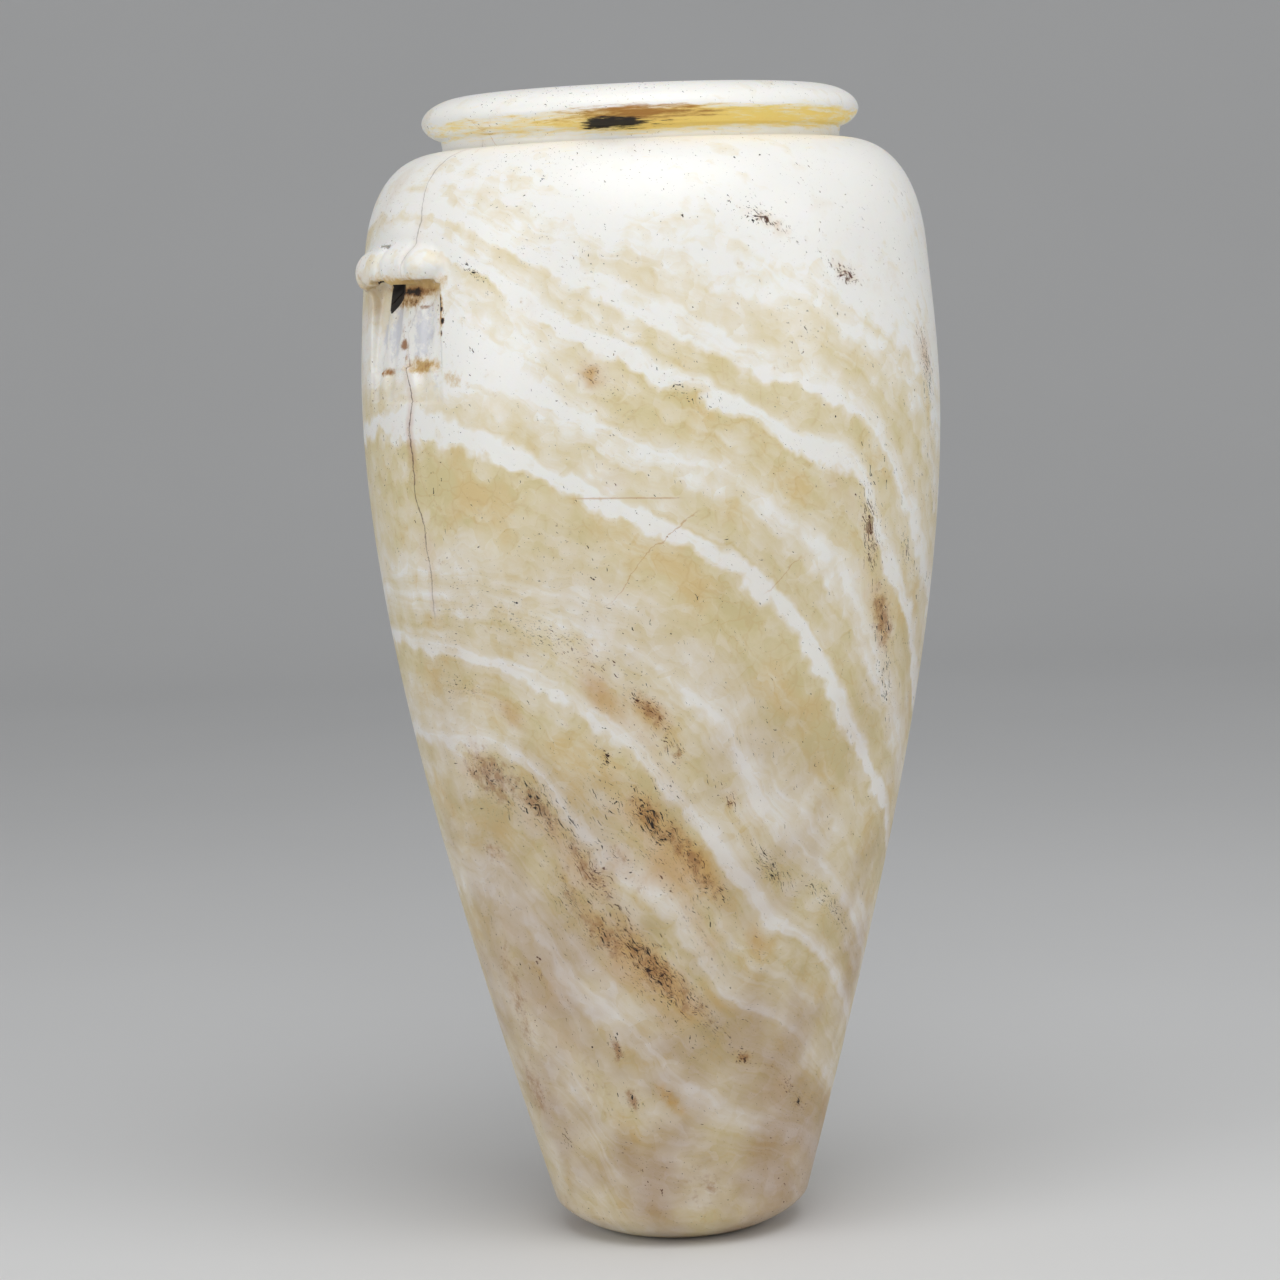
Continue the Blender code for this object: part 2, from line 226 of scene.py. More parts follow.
# %% [markdown]
# ## Finer mesh where the lugs are
# Carving needs small faces, but the rest of the wall doesn't. `subdivide_edges` with
# `use_grid_fill` cuts only the faces around each lug into a five by five grid, and joins
# the patch to its coarser neighbours by itself.

# %% Subdivide two patches
LUG_ARM = 0.1122          # radius at which distances along a lug are counted
PATCH_LOW, PATCH_HIGH = 0.3335, 0.4140
PATCH_LEFT, PATCH_RIGHT = 0.0360, -0.0520
PATCH_CUTS = 4
OUTER_ARM = 0.100         # the hollow lies inside this radius, the wall outside it


def lug_place(points):
    """Arc length to the left of the nearer lug, seen from outside, and the lug's side."""
    side = np.where(points[:, 0] < 0, -1.0, 1.0)
    turn = np.arctan2(side * points[:, 1], side * points[:, 0])
    return -turn * LUG_ARM, side


def refine_patches(bm):
    """Cuts the outer faces round both lugs finer."""
    chosen = []
    for face in bm.faces:
        middle = face.calc_center_median()
        if not (PATCH_LOW < middle.z < PATCH_HIGH and middle.xy.length > OUTER_ARM):
            continue
        if PATCH_RIGHT < lug_place(np.array([middle]))[0][0] < PATCH_LEFT:
            chosen.append(face)
    edges = list({edge for face in chosen for edge in face.edges})
    bmesh.ops.subdivide_edges(bm, edges=edges, cuts=PATCH_CUTS, use_grid_fill=True)
    return len(chosen)


print("faces refined:", refine_patches(skin), "- skin now has", len(skin.faces), "faces")

# %% [markdown]
# ## Carving the lugs
# Each lug is a lobed bar over a recess with drilled channels, all soft from wear. Booleans
# would leave hard edges, so the worn surface is described as a distance instead: the wall
# and the bar are joined with a smooth minimum, and the recess and its channels are taken
# away with a smooth maximum. The points of the patch are then drawn onto the place where
# that distance is zero, and relaxed between steps so that they stay even.

# %% Distances that blend
BAR_HEIGHT = 0.3870       # middle of the bar
BAR_ARM = 0.1106          # its axis, from the jar's axis
BAR_THICK = 0.0085
BAR_ENDS = (0.0140, -0.0345)


def smooth_min(a, b, blend):
    """The smaller of two distances, with the corner between them rounded."""
    mix = np.clip(0.5 + 0.5 * (b - a) / blend, 0.0, 1.0)
    return b * (1 - mix) + a * mix - blend * mix * (1 - mix)


def smooth_max(a, b, blend):
    return -smooth_min(-a, -b, blend)


def hill(value, middle, wide, power=2.0):
    """A soft hill of height 1. A higher power gives it a flat top and steep sides."""
    return np.exp(-np.abs((value - middle) / wide) ** power)


def smooth_step(value, low, high):
    """Grows softly from 0 at the low end to 1 at the high end."""
    share = np.clip((value - low) / (high - low), 0.0, 1.0)
    return share * share * (3 - 2 * share)


def wall_radius(height):
    """Radius of the turned wall at a height."""
    return np.interp(height, BODY[:, 1], BODY[:, 0])


def wall_distance(arm, height):
    """Distance outside the turned wall, and its radius."""
    slope = np.gradient(BODY[:, 0], BODY[:, 1])
    radius = wall_radius(height)
    lean = np.interp(height, BODY[:, 1], slope)
    return (arm - radius) / np.sqrt(1 + lean * lean), radius


# %% The bar
GROOVES = (-0.0049, -0.0206, -0.0335)     # between the lobes, to the left is positive
GROOVE_DEPTH, GROOVE_WIDTH = 0.0007, 0.0018


def bar_distance(along, arm, height, worn):
    """The lobed bar. Its left end is a round knob, its right end is worn into the wall."""
    spot = np.clip(along, BAR_ENDS[1], BAR_ENDS[0])
    tip = np.clip((spot - BAR_ENDS[1]) / 0.0330, 0.0, 1.0)
    thick = BAR_THICK * (0.30 + 0.70 * np.sqrt(1 - (1 - tip) ** 2))
    for groove in GROOVES:
        thick = thick - GROOVE_DEPTH * hill(spot, groove, GROOVE_WIDTH)
    middle = BAR_HEIGHT + 0.0010 * (1 - tip) - 0.0012 * hill(spot, BAR_ENDS[0], 0.009)
    sink = 0.0012 * worn * hill(spot, -0.012, 0.010)
    up = (height - middle) * (1.0 - 0.04 * worn)
    return np.sqrt((along - spot) ** 2 + (arm - BAR_ARM + sink) ** 2 + up ** 2) - thick


# %% The recess and its channels
RECESS_EDGES = (0.0170, -0.0347)
CEILING, LEDGE = 0.3812, 0.3500
CHANNELS = ((0.0108, 0.0046), (-0.0012, 0.0066), (-0.0246, 0.0080))   # middle, radius
RIDGE = -0.0112
APRON_DEPTH = 0.0005      # the wall under the ledge is rubbed a little hollow
# How far edges are rounded: inside the recess, at its sides and channels, at its brow,
# and where the bar grows out of the wall.
RECESS_SOFT, SIDE_SOFT, BROW_SOFT, ROOT_SOFT = 0.0006, 0.0008, 0.0012, 0.0034


def recess_distance(along, arm, height, radius, worn):
    """The sunk field under the bar, deepest at its ceiling, with a wavy ledge below."""
    ceiling = CEILING - 0.0012 * hill(along, RECESS_EDGES[0], 0.008)
    ledge = LEDGE - 0.0016 * (along > RIDGE) + 0.0008 * np.sin(along * 420)
    share = np.clip((height - ledge) / (ceiling - ledge), 0.0, 1.0)
    depth = 0.0020 + 0.0026 * share + 0.0006 * hill(along, -0.024, 0.008)
    right = RECESS_EDGES[1] - 0.0015 * (1 - share) * worn
    floor = (radius - depth) - arm
    box = smooth_max(height - ceiling, ledge - height, RECESS_SOFT)
    sides = smooth_max(along - RECESS_EDGES[0], right - along, RECESS_SOFT)
    return smooth_max(smooth_max(box, sides, SIDE_SOFT), floor, RECESS_SOFT)


def channel_distance(along, arm, height, radius, middle, wide):
    """One round groove, deepest at the ceiling and running out above the ledge."""
    share = np.clip((CEILING - height) / (CEILING - LEDGE), 0.0, 1.3)
    axis = radius - 0.0064 + wide + 0.0040 * share ** 1.6
    groove = np.sqrt((along - middle) ** 2 + (arm - axis) ** 2) - wide
    return smooth_max(groove, height - CEILING - 0.0016, BROW_SOFT)


def lug_distance(points, worn):
    """Signed distance to the worked stone: below zero inside it."""
    along = lug_place(points)[0]
    arm = np.hypot(points[:, 0], points[:, 1])
    height = points[:, 2]
    stone, radius = wall_distance(arm, height)
    swell = 0.0016 * hill(height, 0.4000, 0.0075) * hill(along, -0.008, 0.019)
    stone = smooth_min(stone - swell, bar_distance(along, arm, height, worn), ROOT_SOFT)
    stone = smooth_max(stone, -recess_distance(along, arm, height, radius, worn), BROW_SOFT)
    for middle, wide in CHANNELS:
        cut = channel_distance(along, arm, height, radius, middle, wide)
        stone = smooth_max(stone, -cut, SIDE_SOFT)
    sides = smooth_step(along, RECESS_EDGES[1] - 0.0030, RECESS_EDGES[1]) * (
        1 - smooth_step(along, RECESS_EDGES[0] - 0.0010, RECESS_EDGES[0] + 0.0005))
    apron = smooth_step(height, 0.3240, 0.3400) * (1 - smooth_step(height, 0.3480, 0.3500))
    return stone + APRON_DEPTH * apron * sides


# %% Draw the points onto the worked surface
PATCH_MARGIN, TOP_MARGIN = 0.0035, 0.0025


def inner_points(bm):
    """All points, and which of them lie in the fine patches away from their borders."""
    bm.verts.ensure_lookup_table()
    place = np.array([v.co for v in bm.verts])
    along, height = lug_place(place)[0], place[:, 2]
    room = ((along > PATCH_RIGHT + PATCH_MARGIN) & (along < PATCH_LEFT - PATCH_MARGIN)
            & (height > PATCH_LOW + PATCH_MARGIN) & (height < PATCH_HIGH - TOP_MARGIN)
            & (np.hypot(place[:, 0], place[:, 1]) > OUTER_ARM))
    return place, room


def neighbour_mean(place, pairs):
    """Mean place of the points that each point shares an edge with."""
    count = np.bincount(pairs.ravel(), minlength=len(place))
    total = np.zeros_like(place)
    for axis in range(3):
        total[:, axis] += np.bincount(pairs[:, 0], place[pairs[:, 1], axis], len(place))
        total[:, axis] += np.bincount(pairs[:, 1], place[pairs[:, 0], axis], len(place))
    return total / np.maximum(count, 1)[:, None]


def pull_to_surface(points, worn, reach=0.0012, tiny=0.00002):
    """One step of at most the reach towards zero distance, along the steepest way."""
    value = lug_distance(points, worn)
    steep = np.zeros_like(points)
    for axis in range(3):
        shifted = points.copy()
        shifted[:, axis] += tiny
        steep[:, axis] = (lug_distance(shifted, worn) - value) / tiny
    size = np.maximum((steep ** 2).sum(1), 0.2)
    step = -value[:, None] * steep / size[:, None]
    length = np.linalg.norm(step, axis=1)
    return points + step * np.minimum(1.0, reach / np.maximum(length, 1e-9))[:, None]


def work_lugs(bm, rounds=170, last_rounds=6):
    """Relaxes and pulls the points by turns, less strongly in the last rounds."""
    place, room = inner_points(bm)
    pairs = np.array([[v.index for v in edge.verts] for edge in bm.edges])
    pairs = pairs[room[pairs].any(1)]
    worn = np.where(place[room][:, 0] < 0, 1.0, 0.4)
    for number in range(rounds):
        relax = 0.55 if number < rounds - last_rounds else 0.15
        mean = neighbour_mean(place, pairs)
        place[room] += (mean[room] - place[room]) * relax
        place[room] = pull_to_surface(place[room], worn)
    for number in range(3):
        place[room] = pull_to_surface(place[room], worn)
    for vert, spot in zip(bm.verts, place):
        vert.co = spot
    return room.sum()


print("points worked:", work_lugs(skin))

# %% [markdown]
# ## The cord slots and the drilled pockets
# A cord passes behind each bar, through a slot that opens on top of it. The photo also
# shows a black pocket under the bar, left by a drill that ran up into the stone. Both go
# deep behind the surface, so here a Boolean is right: a bevelled cube for the slot and an
# uneven, leaning drill for the pocket are cut out of the finished skin.

# %% Cut slots and pockets
SLOT_SIZE = (0.0022, 0.0096, 0.0242)
SLOT_DROP = 0.0029        # its top stays in the crease behind the bar
SLOT_ARM = 0.1120
POCKET_LINE = ((0.1100, 0.0034, 0.3748), (0.0995, -0.0008, 0.3862))   # arm, along, height
POCKET_RADIUS = 0.0031


def slot_tool(side):
    """A flat block with its upright edges rounded."""
    bm = bmesh.new()
    bmesh.ops.create_cube(bm, size=1.0)
    bmesh.ops.scale(bm, vec=SLOT_SIZE, verts=bm.verts)
    upright = [e for e in bm.edges if abs(e.verts[0].co.z - e.verts[1].co.z) > 0.02]
    bmesh.ops.bevel(bm, geom=upright, offset=0.0009, segments=4, profile=0.5,
                    affect='EDGES', material=-1)
    bmesh.ops.translate(bm, vec=(SLOT_ARM * side, 0, BAR_HEIGHT - SLOT_DROP),
                        verts=bm.verts)
    return bm


def pocket_tool(side):
    """A drill hole that leans into the stone as it goes up."""
    low, high = (Vector((-arm, along, height)) for arm, along, height in POCKET_LINE)
    bm = bmesh.new()
    bmesh.ops.create_cone(bm, cap_ends=True, segments=22, radius1=POCKET_RADIUS * 0.9,
                          radius2=POCKET_RADIUS, depth=(high - low).length)
    for vert in bm.verts:
        angle = math.atan2(vert.co.y, vert.co.x)
        vert.co.xy *= 1 + 0.15 * math.sin(3 * angle + 1) + 0.08 * math.sin(7 * angle)
    lean = (high - low).to_track_quat('Z', 'Y').to_matrix().to_4x4()
    turn = Matrix.Rotation(0.0 if side < 0 else math.pi, 4, 'Z')
    bmesh.ops.transform(bm, matrix=turn @ Matrix.Translation((low + high) / 2) @ lean,
                        verts=bm.verts)
    return bm


def as_object(name, bm):
    """Turns a bmesh into an object of the scene, with its faces pointing outwards."""
    mesh = bpy.data.meshes.new(name)
    bmesh.ops.recalc_face_normals(bm, faces=bm.faces)
    bm.to_mesh(mesh)
    bm.free()
    obj = bpy.data.objects.new(name, mesh)
    bpy.context.scene.collection.objects.link(obj)
    return obj


def cut_away(obj, tools):
    """Cuts the tools out of the object, leaves its mesh finished and removes the tools."""
    for tool in tools:
        modifier = obj.modifiers.new(tool.name, 'BOOLEAN')
        modifier.operation = 'DIFFERENCE'
        modifier.solver = 'EXACT'
        modifier.object = tool
    graph = bpy.context.evaluated_depsgraph_get()
    finished = bpy.data.meshes.new_from_object(obj.evaluated_get(graph))
    obj.modifiers.clear()
    rough, obj.data = obj.data, finished
    bpy.data.meshes.remove(rough)
    for tool in tools:
        spare = tool.data
        bpy.data.objects.remove(tool)
        bpy.data.meshes.remove(spare)


stone = as_object("jar_stone", skin)
stone.data.name = "jar_stone"
cut_away(stone, [as_object("tool", make(side))
                 for make in (slot_tool, pocket_tool) for side in (-1, 1)])
stone.data.shade_smooth()
print("stone with slots:", len(stone.data.vertices), "points")

# %% [markdown]
# ## The layers of the stone
# Banded calcite grows in layers, and every cut shows them as bands. On this jar they lie
# flat on the left, and fall steeply to the right. A pattern in plain space could only make
# straight bands, so each main layer is written down as a few places where it crosses the
# visible side: degrees to the left of the middle, and the height there in millimetres. The
# far side isn't seen in the photo, so there the layers run on round the back in one dip.
# From these, each point of the skin gets one number, the height at which its own layer
# crosses the middle of the picture. The material turns that number into colour.

# %% Main layers, by the height at which they cross the middle
FACING_DEG = -118.0
SEEN_DEG = 75.0
LAYERS = {
    44: ((75, 95), (60, 92), (45, 87), (35, 76), (28, 57), (15, 48), (0, 44), (-30, 37),
         (-55, 25), (-75, 14)),
    68: ((75, 150), (60, 149), (45, 148), (37, 132), (29, 110), (20, 98), (9, 84), (0, 68),
         (-12, 58), (-30, 50), (-50, 42), (-75, 32)),
    137: ((75, 205), (58, 206), (40, 207), (31, 198), (20, 168), (8, 150), (0, 137),
          (-8, 120), (-15, 107), (-36, 92), (-44, 82), (-60, 65), (-75, 55)),
    190: ((75, 245), (60, 244), (45, 242), (29, 236), (20, 228), (11, 213), (0, 190),
          (-10, 167), (-21, 145), (-28, 133), (-43, 120), (-57, 103), (-75, 82)),
    254: ((75, 270), (60, 272), (45, 274), (30, 273), (10, 262), (0, 254), (-10, 238),
          (-15, 226), (-19, 207), (-28, 184), (-48, 155), (-65, 132), (-75, 120)),
    288: ((75, 323), (60, 327), (42, 328), (30, 320), (15, 303), (0, 288), (-10, 277),
          (-22, 263), (-30, 246), (-40, 215), (-49, 197), (-59, 180), (-75, 156)),
    347: ((75, 391), (60, 397), (45, 396), (30, 382), (18, 364), (0, 347), (-20, 327),
          (-25, 318), (-43, 302), (-47, 285), (-58, 258), (-75, 215)),
    369: ((75, 410), (60, 413), (45, 410), (25, 392), (15, 383), (0, 369), (-20, 348),
          (-40, 332), (-48, 322), (-60, 292), (-75, 259)),
    414: ((75, 430), (50, 430), (20, 424), (0, 414), (-18, 406), (-29, 394), (-40, 377),
          (-50, 369), (-63, 355), (-75, 321)),
}


def half_turn(degrees):
    """The same turn, from -180 up to 180 degrees."""
    return (degrees + 180) % 360 - 180


def place_on_jar(points):
    """Degrees to the left of the side that faces the camera, and the height in mm."""
    turn = np.degrees(np.arctan2(points[:, 1], points[:, 0]))
    return half_turn(FACING_DEG - turn), points[:, 2] * 1000


def smooth_line(value, pairs):
    """A smooth curve through a few (place, height) pairs."""
    spots, heights = np.array(sorted(pairs), float).T
    slope = np.diff(heights) / np.diff(spots)
    pull = np.concatenate([slope[:1], (slope[1:] + slope[:-1]) / 2, slope[-1:]])
    i = np.clip(np.searchsorted(spots, value) - 1, 0, len(spots) - 2)
    gap = spots[i + 1] - spots[i]
    t = (value - spots[i]) / gap
    return ((2 * t ** 3 - 3 * t ** 2 + 1) * heights[i] + (t ** 3 - 2 * t ** 2 + t) * gap
            * pull[i] + (3 * t ** 2 - 2 * t ** 3) * heights[i + 1]
            + (t ** 3 - t ** 2) * gap * pull[i + 1])


# %% One number for each point
LAYER_GAP_MM = 4.0        # two layers never come closer than this
REAR_DIP = 0.45           # how deep the layers dip at the back, against their fall in front


def layer_height(left, pairs):
    """Height of one layer all round the jar."""
    seen = smooth_line(np.clip(left, -SEEN_DEG, SEEN_DEG), pairs)
    high, low = pairs[0][1], pairs[-1][1]
    share = np.clip((-SEEN_DEG - left) % 360 / (360 - 2 * SEEN_DEG), 0, 1)
    rear = low + (high - low) * smooth_step(share, 0.0, 1.0)
    rear = rear - REAR_DIP * (high - low) * np.sin(math.pi * share) * np.sqrt(1 - share)
    return np.where(np.abs(left) <= SEEN_DEG, seen, rear)


def layer_number(points):
    """Height in metres at which the point's layer crosses the middle of the picture."""
    left, height = place_on_jar(points)
    names = sorted(LAYERS)
    lines = np.stack([layer_height(left, LAYERS[name]) for name in names])
    for i in range(1, len(names)):
        lines[i] = np.maximum(lines[i], lines[i - 1] + LAYER_GAP_MM)
    number = names[0] + (height - lines[0])
    for i in range(len(names) - 1):
        share = (height - lines[i]) / (lines[i + 1] - lines[i])
        number = np.where(share >= 0, names[i] + share * (names[i + 1] - names[i]), number)
    number = np.where(height >= lines[-1], names[-1] + height - lines[-1], number)
    arm = np.hypot(points[:, 0], points[:, 1])
    inward = np.clip(arm / np.maximum(wall_radius(points[:, 2]), 0.02), 0.0, 1.0)
    return (height + (number - height) * inward) / 1000


def points_of(mesh):
    flat = np.empty(len(mesh.vertices) * 3)
    mesh.vertices.foreach_get("co", flat)
    return flat.reshape(-1, 3)


def store(mesh, name, values):
    """Writes one number or three for each point, for the material to read."""
    triple = values.ndim == 2
    kind = 'FLOAT_VECTOR' if triple else 'FLOAT'
    attribute = mesh.attributes.new(name, kind, 'POINT')
    attribute.data.foreach_set("vector" if triple else "value", values.ravel())


SKIN_POINTS = points_of(stone.data)
LEFT, HEIGHT = place_on_jar(SKIN_POINTS)
ARM = np.hypot(SKIN_POINTS[:, 0], SKIN_POINTS[:, 1])
OUTSIDE = (ARM > wall_radius(SKIN_POINTS[:, 2]) - WALL * 0.7) | (
    SKIN_POINTS[:, 2] < FLOOR * 0.5)
NUMBER = layer_number(SKIN_POINTS)
store(stone.data, "layer", NUMBER)
print("layer numbers:", round(NUMBER.min(), 3), "to", round(NUMBER.max(), 3))

# %% [markdown]
# ## Stains and clouds
# Iron and manganese have crept into the stone here and there, as honey and brown clouds
# with black specks. Each cloud is a soft hill at a named place. Only its spread is stored;
# the ragged edge comes from noise in the material, which has far more detail than a mesh.

# %% Clouds: left, height, half width (deg), half height (mm), ochre, brown, specks
CLOUDS = (
    (44, 195, 10, 12, 0.5, 0.8, 0.5), (31, 184, 8, 6, 0.5, 0.8, 0.7),
    (48, 164, 5, 4, 0.4, 0.7, 0.3), (20, 157, 7, 10, 0.4, 0.6, 0.8),
    (18, 132, 9, 9, 0.6, 0.7, 0.7), (5, 118, 15, 11, 0.9, 0.72, 1.0),
    (-7, 102, 7, 7, 0.4, 0.6, 0.8), (4, 178, 6, 8, 1.0, 0.78, 1.1),
    (-5, 162, 12, 9, 1.0, 0.72, 0.75), (-12, 150, 3, 3, 0.3, 0.6, 1.0),
    (-25, 155, 8, 7, 0.2, 0.5, 0.9), (3, 220, 5, 6, 0.7, 0.72, 1.0),
    (13, 202, 2, 4, 0.4, 0.5, 1.1), (-2, 204, 2, 4, 0.5, 0.8, 1.1),
    (-14, 184, 2, 3, 0.4, 0.6, 1.1), (-47, 136, 15, 6, 0.1, 0.3, 0.8),
    (34, 219, 4, 9, 0.7, 0.3, 0.2), (13, 226, 5, 9, 0.6, 0.3, 0.3),
    (-23, 125, 4, 9, 0.6, 0.2, 0.3), (0, 193, 9, 16, 0.3, 0.2, 0.3),
    (-21, 80, 4, 4, 0.5, 0.8, 1.0), (3, 64, 6, 3, 0.8, 0.5, 0.3),
    (19, 85, 2, 3, 0.6, 0.9, 0.8), (16, 64, 3, 3, 0.6, 0.9, 0.6),
    (60, 64, 10, 15, 0.3, 0.6, 0.2), (54, 101, 6, 16, 0.2, 0.5, 0.2),
    (31, 69, 12, 12, 0.2, 0.3, 0.1), (-9, 27, 9, 12, 0.1, 0.5, 0.1),
    (-52, 247, 5, 9, 0.7, 0.85, 0.7), (-46, 280, 3, 9, 0.3, 0.5, 1.15),
    (-24, 399, 7, 3, 0.4, 0.4, 1.0), (-41, 379, 4, 3, 0.3, 0.4, 1.2),
    (-69, 342, 4, 12, 0.5, 0.4, 1.0), (36, 385, 4, 2, 0.1, 0.3, 0.9),
    (11, 345, 2, 3, 0.8, 0.3, 0.6), (-56, 223, 5, 9, 0.2, 0.3, 0.6),
    (45, 227, 12, 6, 0.3, 0.2, 0.3), (21, 247, 14, 10, 0.1, 0.1, 0.6),
    (51, 277, 5, 20, 0.2, 0.2, 0.2), (-9, 335, 4, 3, 0.2, 0.1, 0.7),
    (-40, 65, 3, 3, 0.1, 0.3, 1.1), (-48, 56, 3, 3, 0.1, 0.4, 1.1),
    (25, 146, 8, 12, 0.3, 0.5, 0.5), (-7, 133, 8, 14, 0.5, 0.3, 0.4),
    (11, 162, 7, 10, 0.4, 0.4, 0.4), (12, 141, 2, 3, 0.2, 0.2, 1.1),
    (48, 44, 3, 3, 0.1, 0.3, 1.0), (-59, 273, 3, 3, 0.2, 0.3, 1.0),
    (150, 190, 22, 14, 0.6, 0.8, 0.7), (-140, 120, 20, 12, 0.6, 0.7, 0.8),
    (-110, 260, 14, 8, 0.6, 0.6, 0.6), (115, 300, 12, 8, 0.5, 0.2, 0.5),
    (178, 330, 12, 7, 0.6, 0.3, 0.4), (95, 140, 14, 12, 0.5, 0.7, 0.6),
    (-41, 378, 1.6, 1.8, 0.2, 0.9, 2.1), (-21, 401, 2.5, 1.0, 0.3, 0.6, 1.6),
    (3, 168, 17, 17, 0.62, 0.1, 0.5), (8, 116, 17, 15, 0.6, 0.1, 0.5),
    (32, 186, 13, 13, 0.58, 0.2, 0.4),
)


def cloud_marks():
    """Each cloud spreads along the layer it lies in."""
    marks = np.zeros((len(LEFT), 3))
    for left, height, wide, tall, *kinds in CLOUDS:
        aside = half_turn(LEFT - left)
        turn = math.radians(FACING_DEG - left)
        middle = np.array([[math.cos(turn), math.sin(turn), height / 1000]])
        over = (NUMBER - layer_number(middle)[0]) * 1000
        spread = hill(aside, 0, wide) * hill(over, 0, tall * 1.1)
        spread = spread * hill(HEIGHT, height, 3 * tall + 8)
        marks = np.maximum(marks, spread[:, None] * kinds)
    return marks * OUTSIDE[:, None]


store(stone.data, "clouds", cloud_marks())
print("clouds:", len(CLOUDS))

# %% Paler and clearer places: left, height, half width (deg), half height (mm), amount
PALE_SPOTS = ((42, 356, 24, 25, 0.75), (52, 389, 16, 10, 0.55), (28, 318, 12, 14, 0.16),
              (-52, 398, 26, 22, 0.22), (64, 250, 12, 60, 0.12), (-6, 318, 12, 9, 0.18),
              (5, 398, 22, 10, 0.16), (-28, 236, 9, 22, 0.14), (4, 322, 14, 5, -0.10),
              (10, 250, 10, 8, -0.12))
pale = np.zeros(len(LEFT))
for left, height, wide, tall, amount in PALE_SPOTS:
    pale += amount * hill(half_turn(LEFT - left), 0, wide) * hill(HEIGHT, height, tall)
store(stone.data, "pale", pale)
print("paler places:", len(PALE_SPOTS))

# %% [markdown]
# ## Dirt under the rim, dirt and painted shade in the lug
# Dirt sits where a hand can't rub it off: in the cove under the rim, black at its middle
# and yellow to the right, and along the ceiling and the ledge of the lug's recess, where it
# is partly painted shade. The drilled pocket and the slot are painted black inside as
# painted shade, and the channels get painted highlights. Three kinds share one vector:
# ochre, brown and black.

# %% Rim dirt
def rim_marks():
    """Ochre in the cove under the rim, brown at its fringe and black low down."""
    cove = hill(HEIGHT, 438.6, 4.3, 4) * (ARM > 0.072)
    fringe = hill(HEIGHT, 440.6, 4.0) * (ARM > 0.075)
    low = hill(HEIGHT, 438.0, 3.0) * (ARM > 0.072)
    turn = half_turn(LEFT + 40)
    ochre = cove * (0.55 * hill(turn, 0, 48, 4) + 0.7 * hill(LEFT, 3, 24)
                    + 0.25 * hill(LEFT, 55, 25) + 0.22)
    brown = fringe * 1.0 * hill(LEFT, 1, 24) + cove * 0.35 * hill(LEFT, 47, 7)
    black = low * (1.05 * hill(LEFT, 10, 8.5) + 0.60 * hill(LEFT, -5, 13))
    return np.stack([ochre, brown, black], 1)


# %% Lug dirt and painted shade: along (mm), height (mm), half length, half height, ochre, brown, black
LUG_DIRT_AND_SHADE_SPOTS = (
    (-12.0, 380.0, 23.0, 4.4, 1.1, 0.30, 0.0), (-9.0, 378.4, 16.0, 2.2, 0.5, 1.3, 1.0),
    (10.0, 380.0, 6.0, 2.4, 0.9, 0.7, 0.1), (7.5, 377.5, 3.0, 2.5, 0.3, 0.6, 0.8),
    (-8.0, 375.2, 15.0, 3.2, 0.80, 0.70, 0.60), (-24.0, 350.2, 11.0, 2.8, 1.0, 0.6, 0.2),
    (3.0, 348.0, 12.0, 2.2, 0.6, 0.8, 0.2), (-9.6, 358.4, 2.8, 2.4, 0.6, 1.4, 0.2),
    (-9.0, 363.0, 1.6, 4.0, 0.2, 0.5, 0.0), (-36.2, 371.2, 1.3, 1.2, 0.7, 1.2, 1.1),
    (-37.2, 367.0, 1.2, 1.4, 0.7, 1.3, 1.2), (-36.0, 362.6, 1.4, 1.6, 0.7, 1.2, 1.2),
    (-35.8, 368.4, 1.6, 6.0, 0.9, 0.7, 0.2),
    (-35.4, 374.0, 1.2, 9.0, 0.9, 0.7, 0.75), (-34.0, 366.0, 2.8, 7.0, 0.6, 0.3, 0.0),
    (-20.0, 372.4, 2.8, 1.2, 0.2, 0.9, 0.3), (-42.5, 345.0, 5.0, 4.0, 0.6, 0.0, 0.0),
    (-37.0, 381.0, 4.0, 3.5, 0.5, 0.1, 0.0), (12.0, 386.0, 1.2, 5.0, 0.5, 0.1, 0.0),
    (-11.5, 353.0, 1.8, 6.0, 0.1, 0.5, 0.4), (-11.0, 367.0, 2.2, 8.0, 0.1, 0.45, 0.1),
)
# Painted highlights on the drilled channels and the apron of the recess: along (mm), height (mm),
# half length, half height, amount.
CHANNEL_HIGHLIGHT_SPOTS = ((9.5, 364.0, 4.0, 11.0, 0.9), (-1.5, 364.0, 5.0, 11.0, 1.0),
               (-21.5, 363.0, 7.5, 11.0, 0.8), (-33.0, 343.5, 2.0, 6.0, 0.5))


def in_pocket(along):
    """True for points inside the drilled pocket and at its edge."""
    low, high = np.array(POCKET_LINE)
    line = high - low
    here = np.stack([ARM, along, HEIGHT / 1000], 1) - low
    share = np.clip(here @ line / (line @ line), -0.1, 1.2)
    return np.linalg.norm(here - share[:, None] * line, axis=1) < POCKET_RADIUS * 1.25


LUG_ZONE_ARM, LUG_ZONE_MM = 0.090, (318, 410)
# The pocket and the slot are painted black inside: painted shade of the deep holes. SLOT_DARK_MM
# is the height range of that painted shade in the slot.
SLOT_DARK_MM = (378, 394)
FAR_LUG_SHARE = 0.55      # the other lug has less dirt, painted shade and painted highlight
PITCH_BLACK = 3.0         # so much that no noise breaks it up


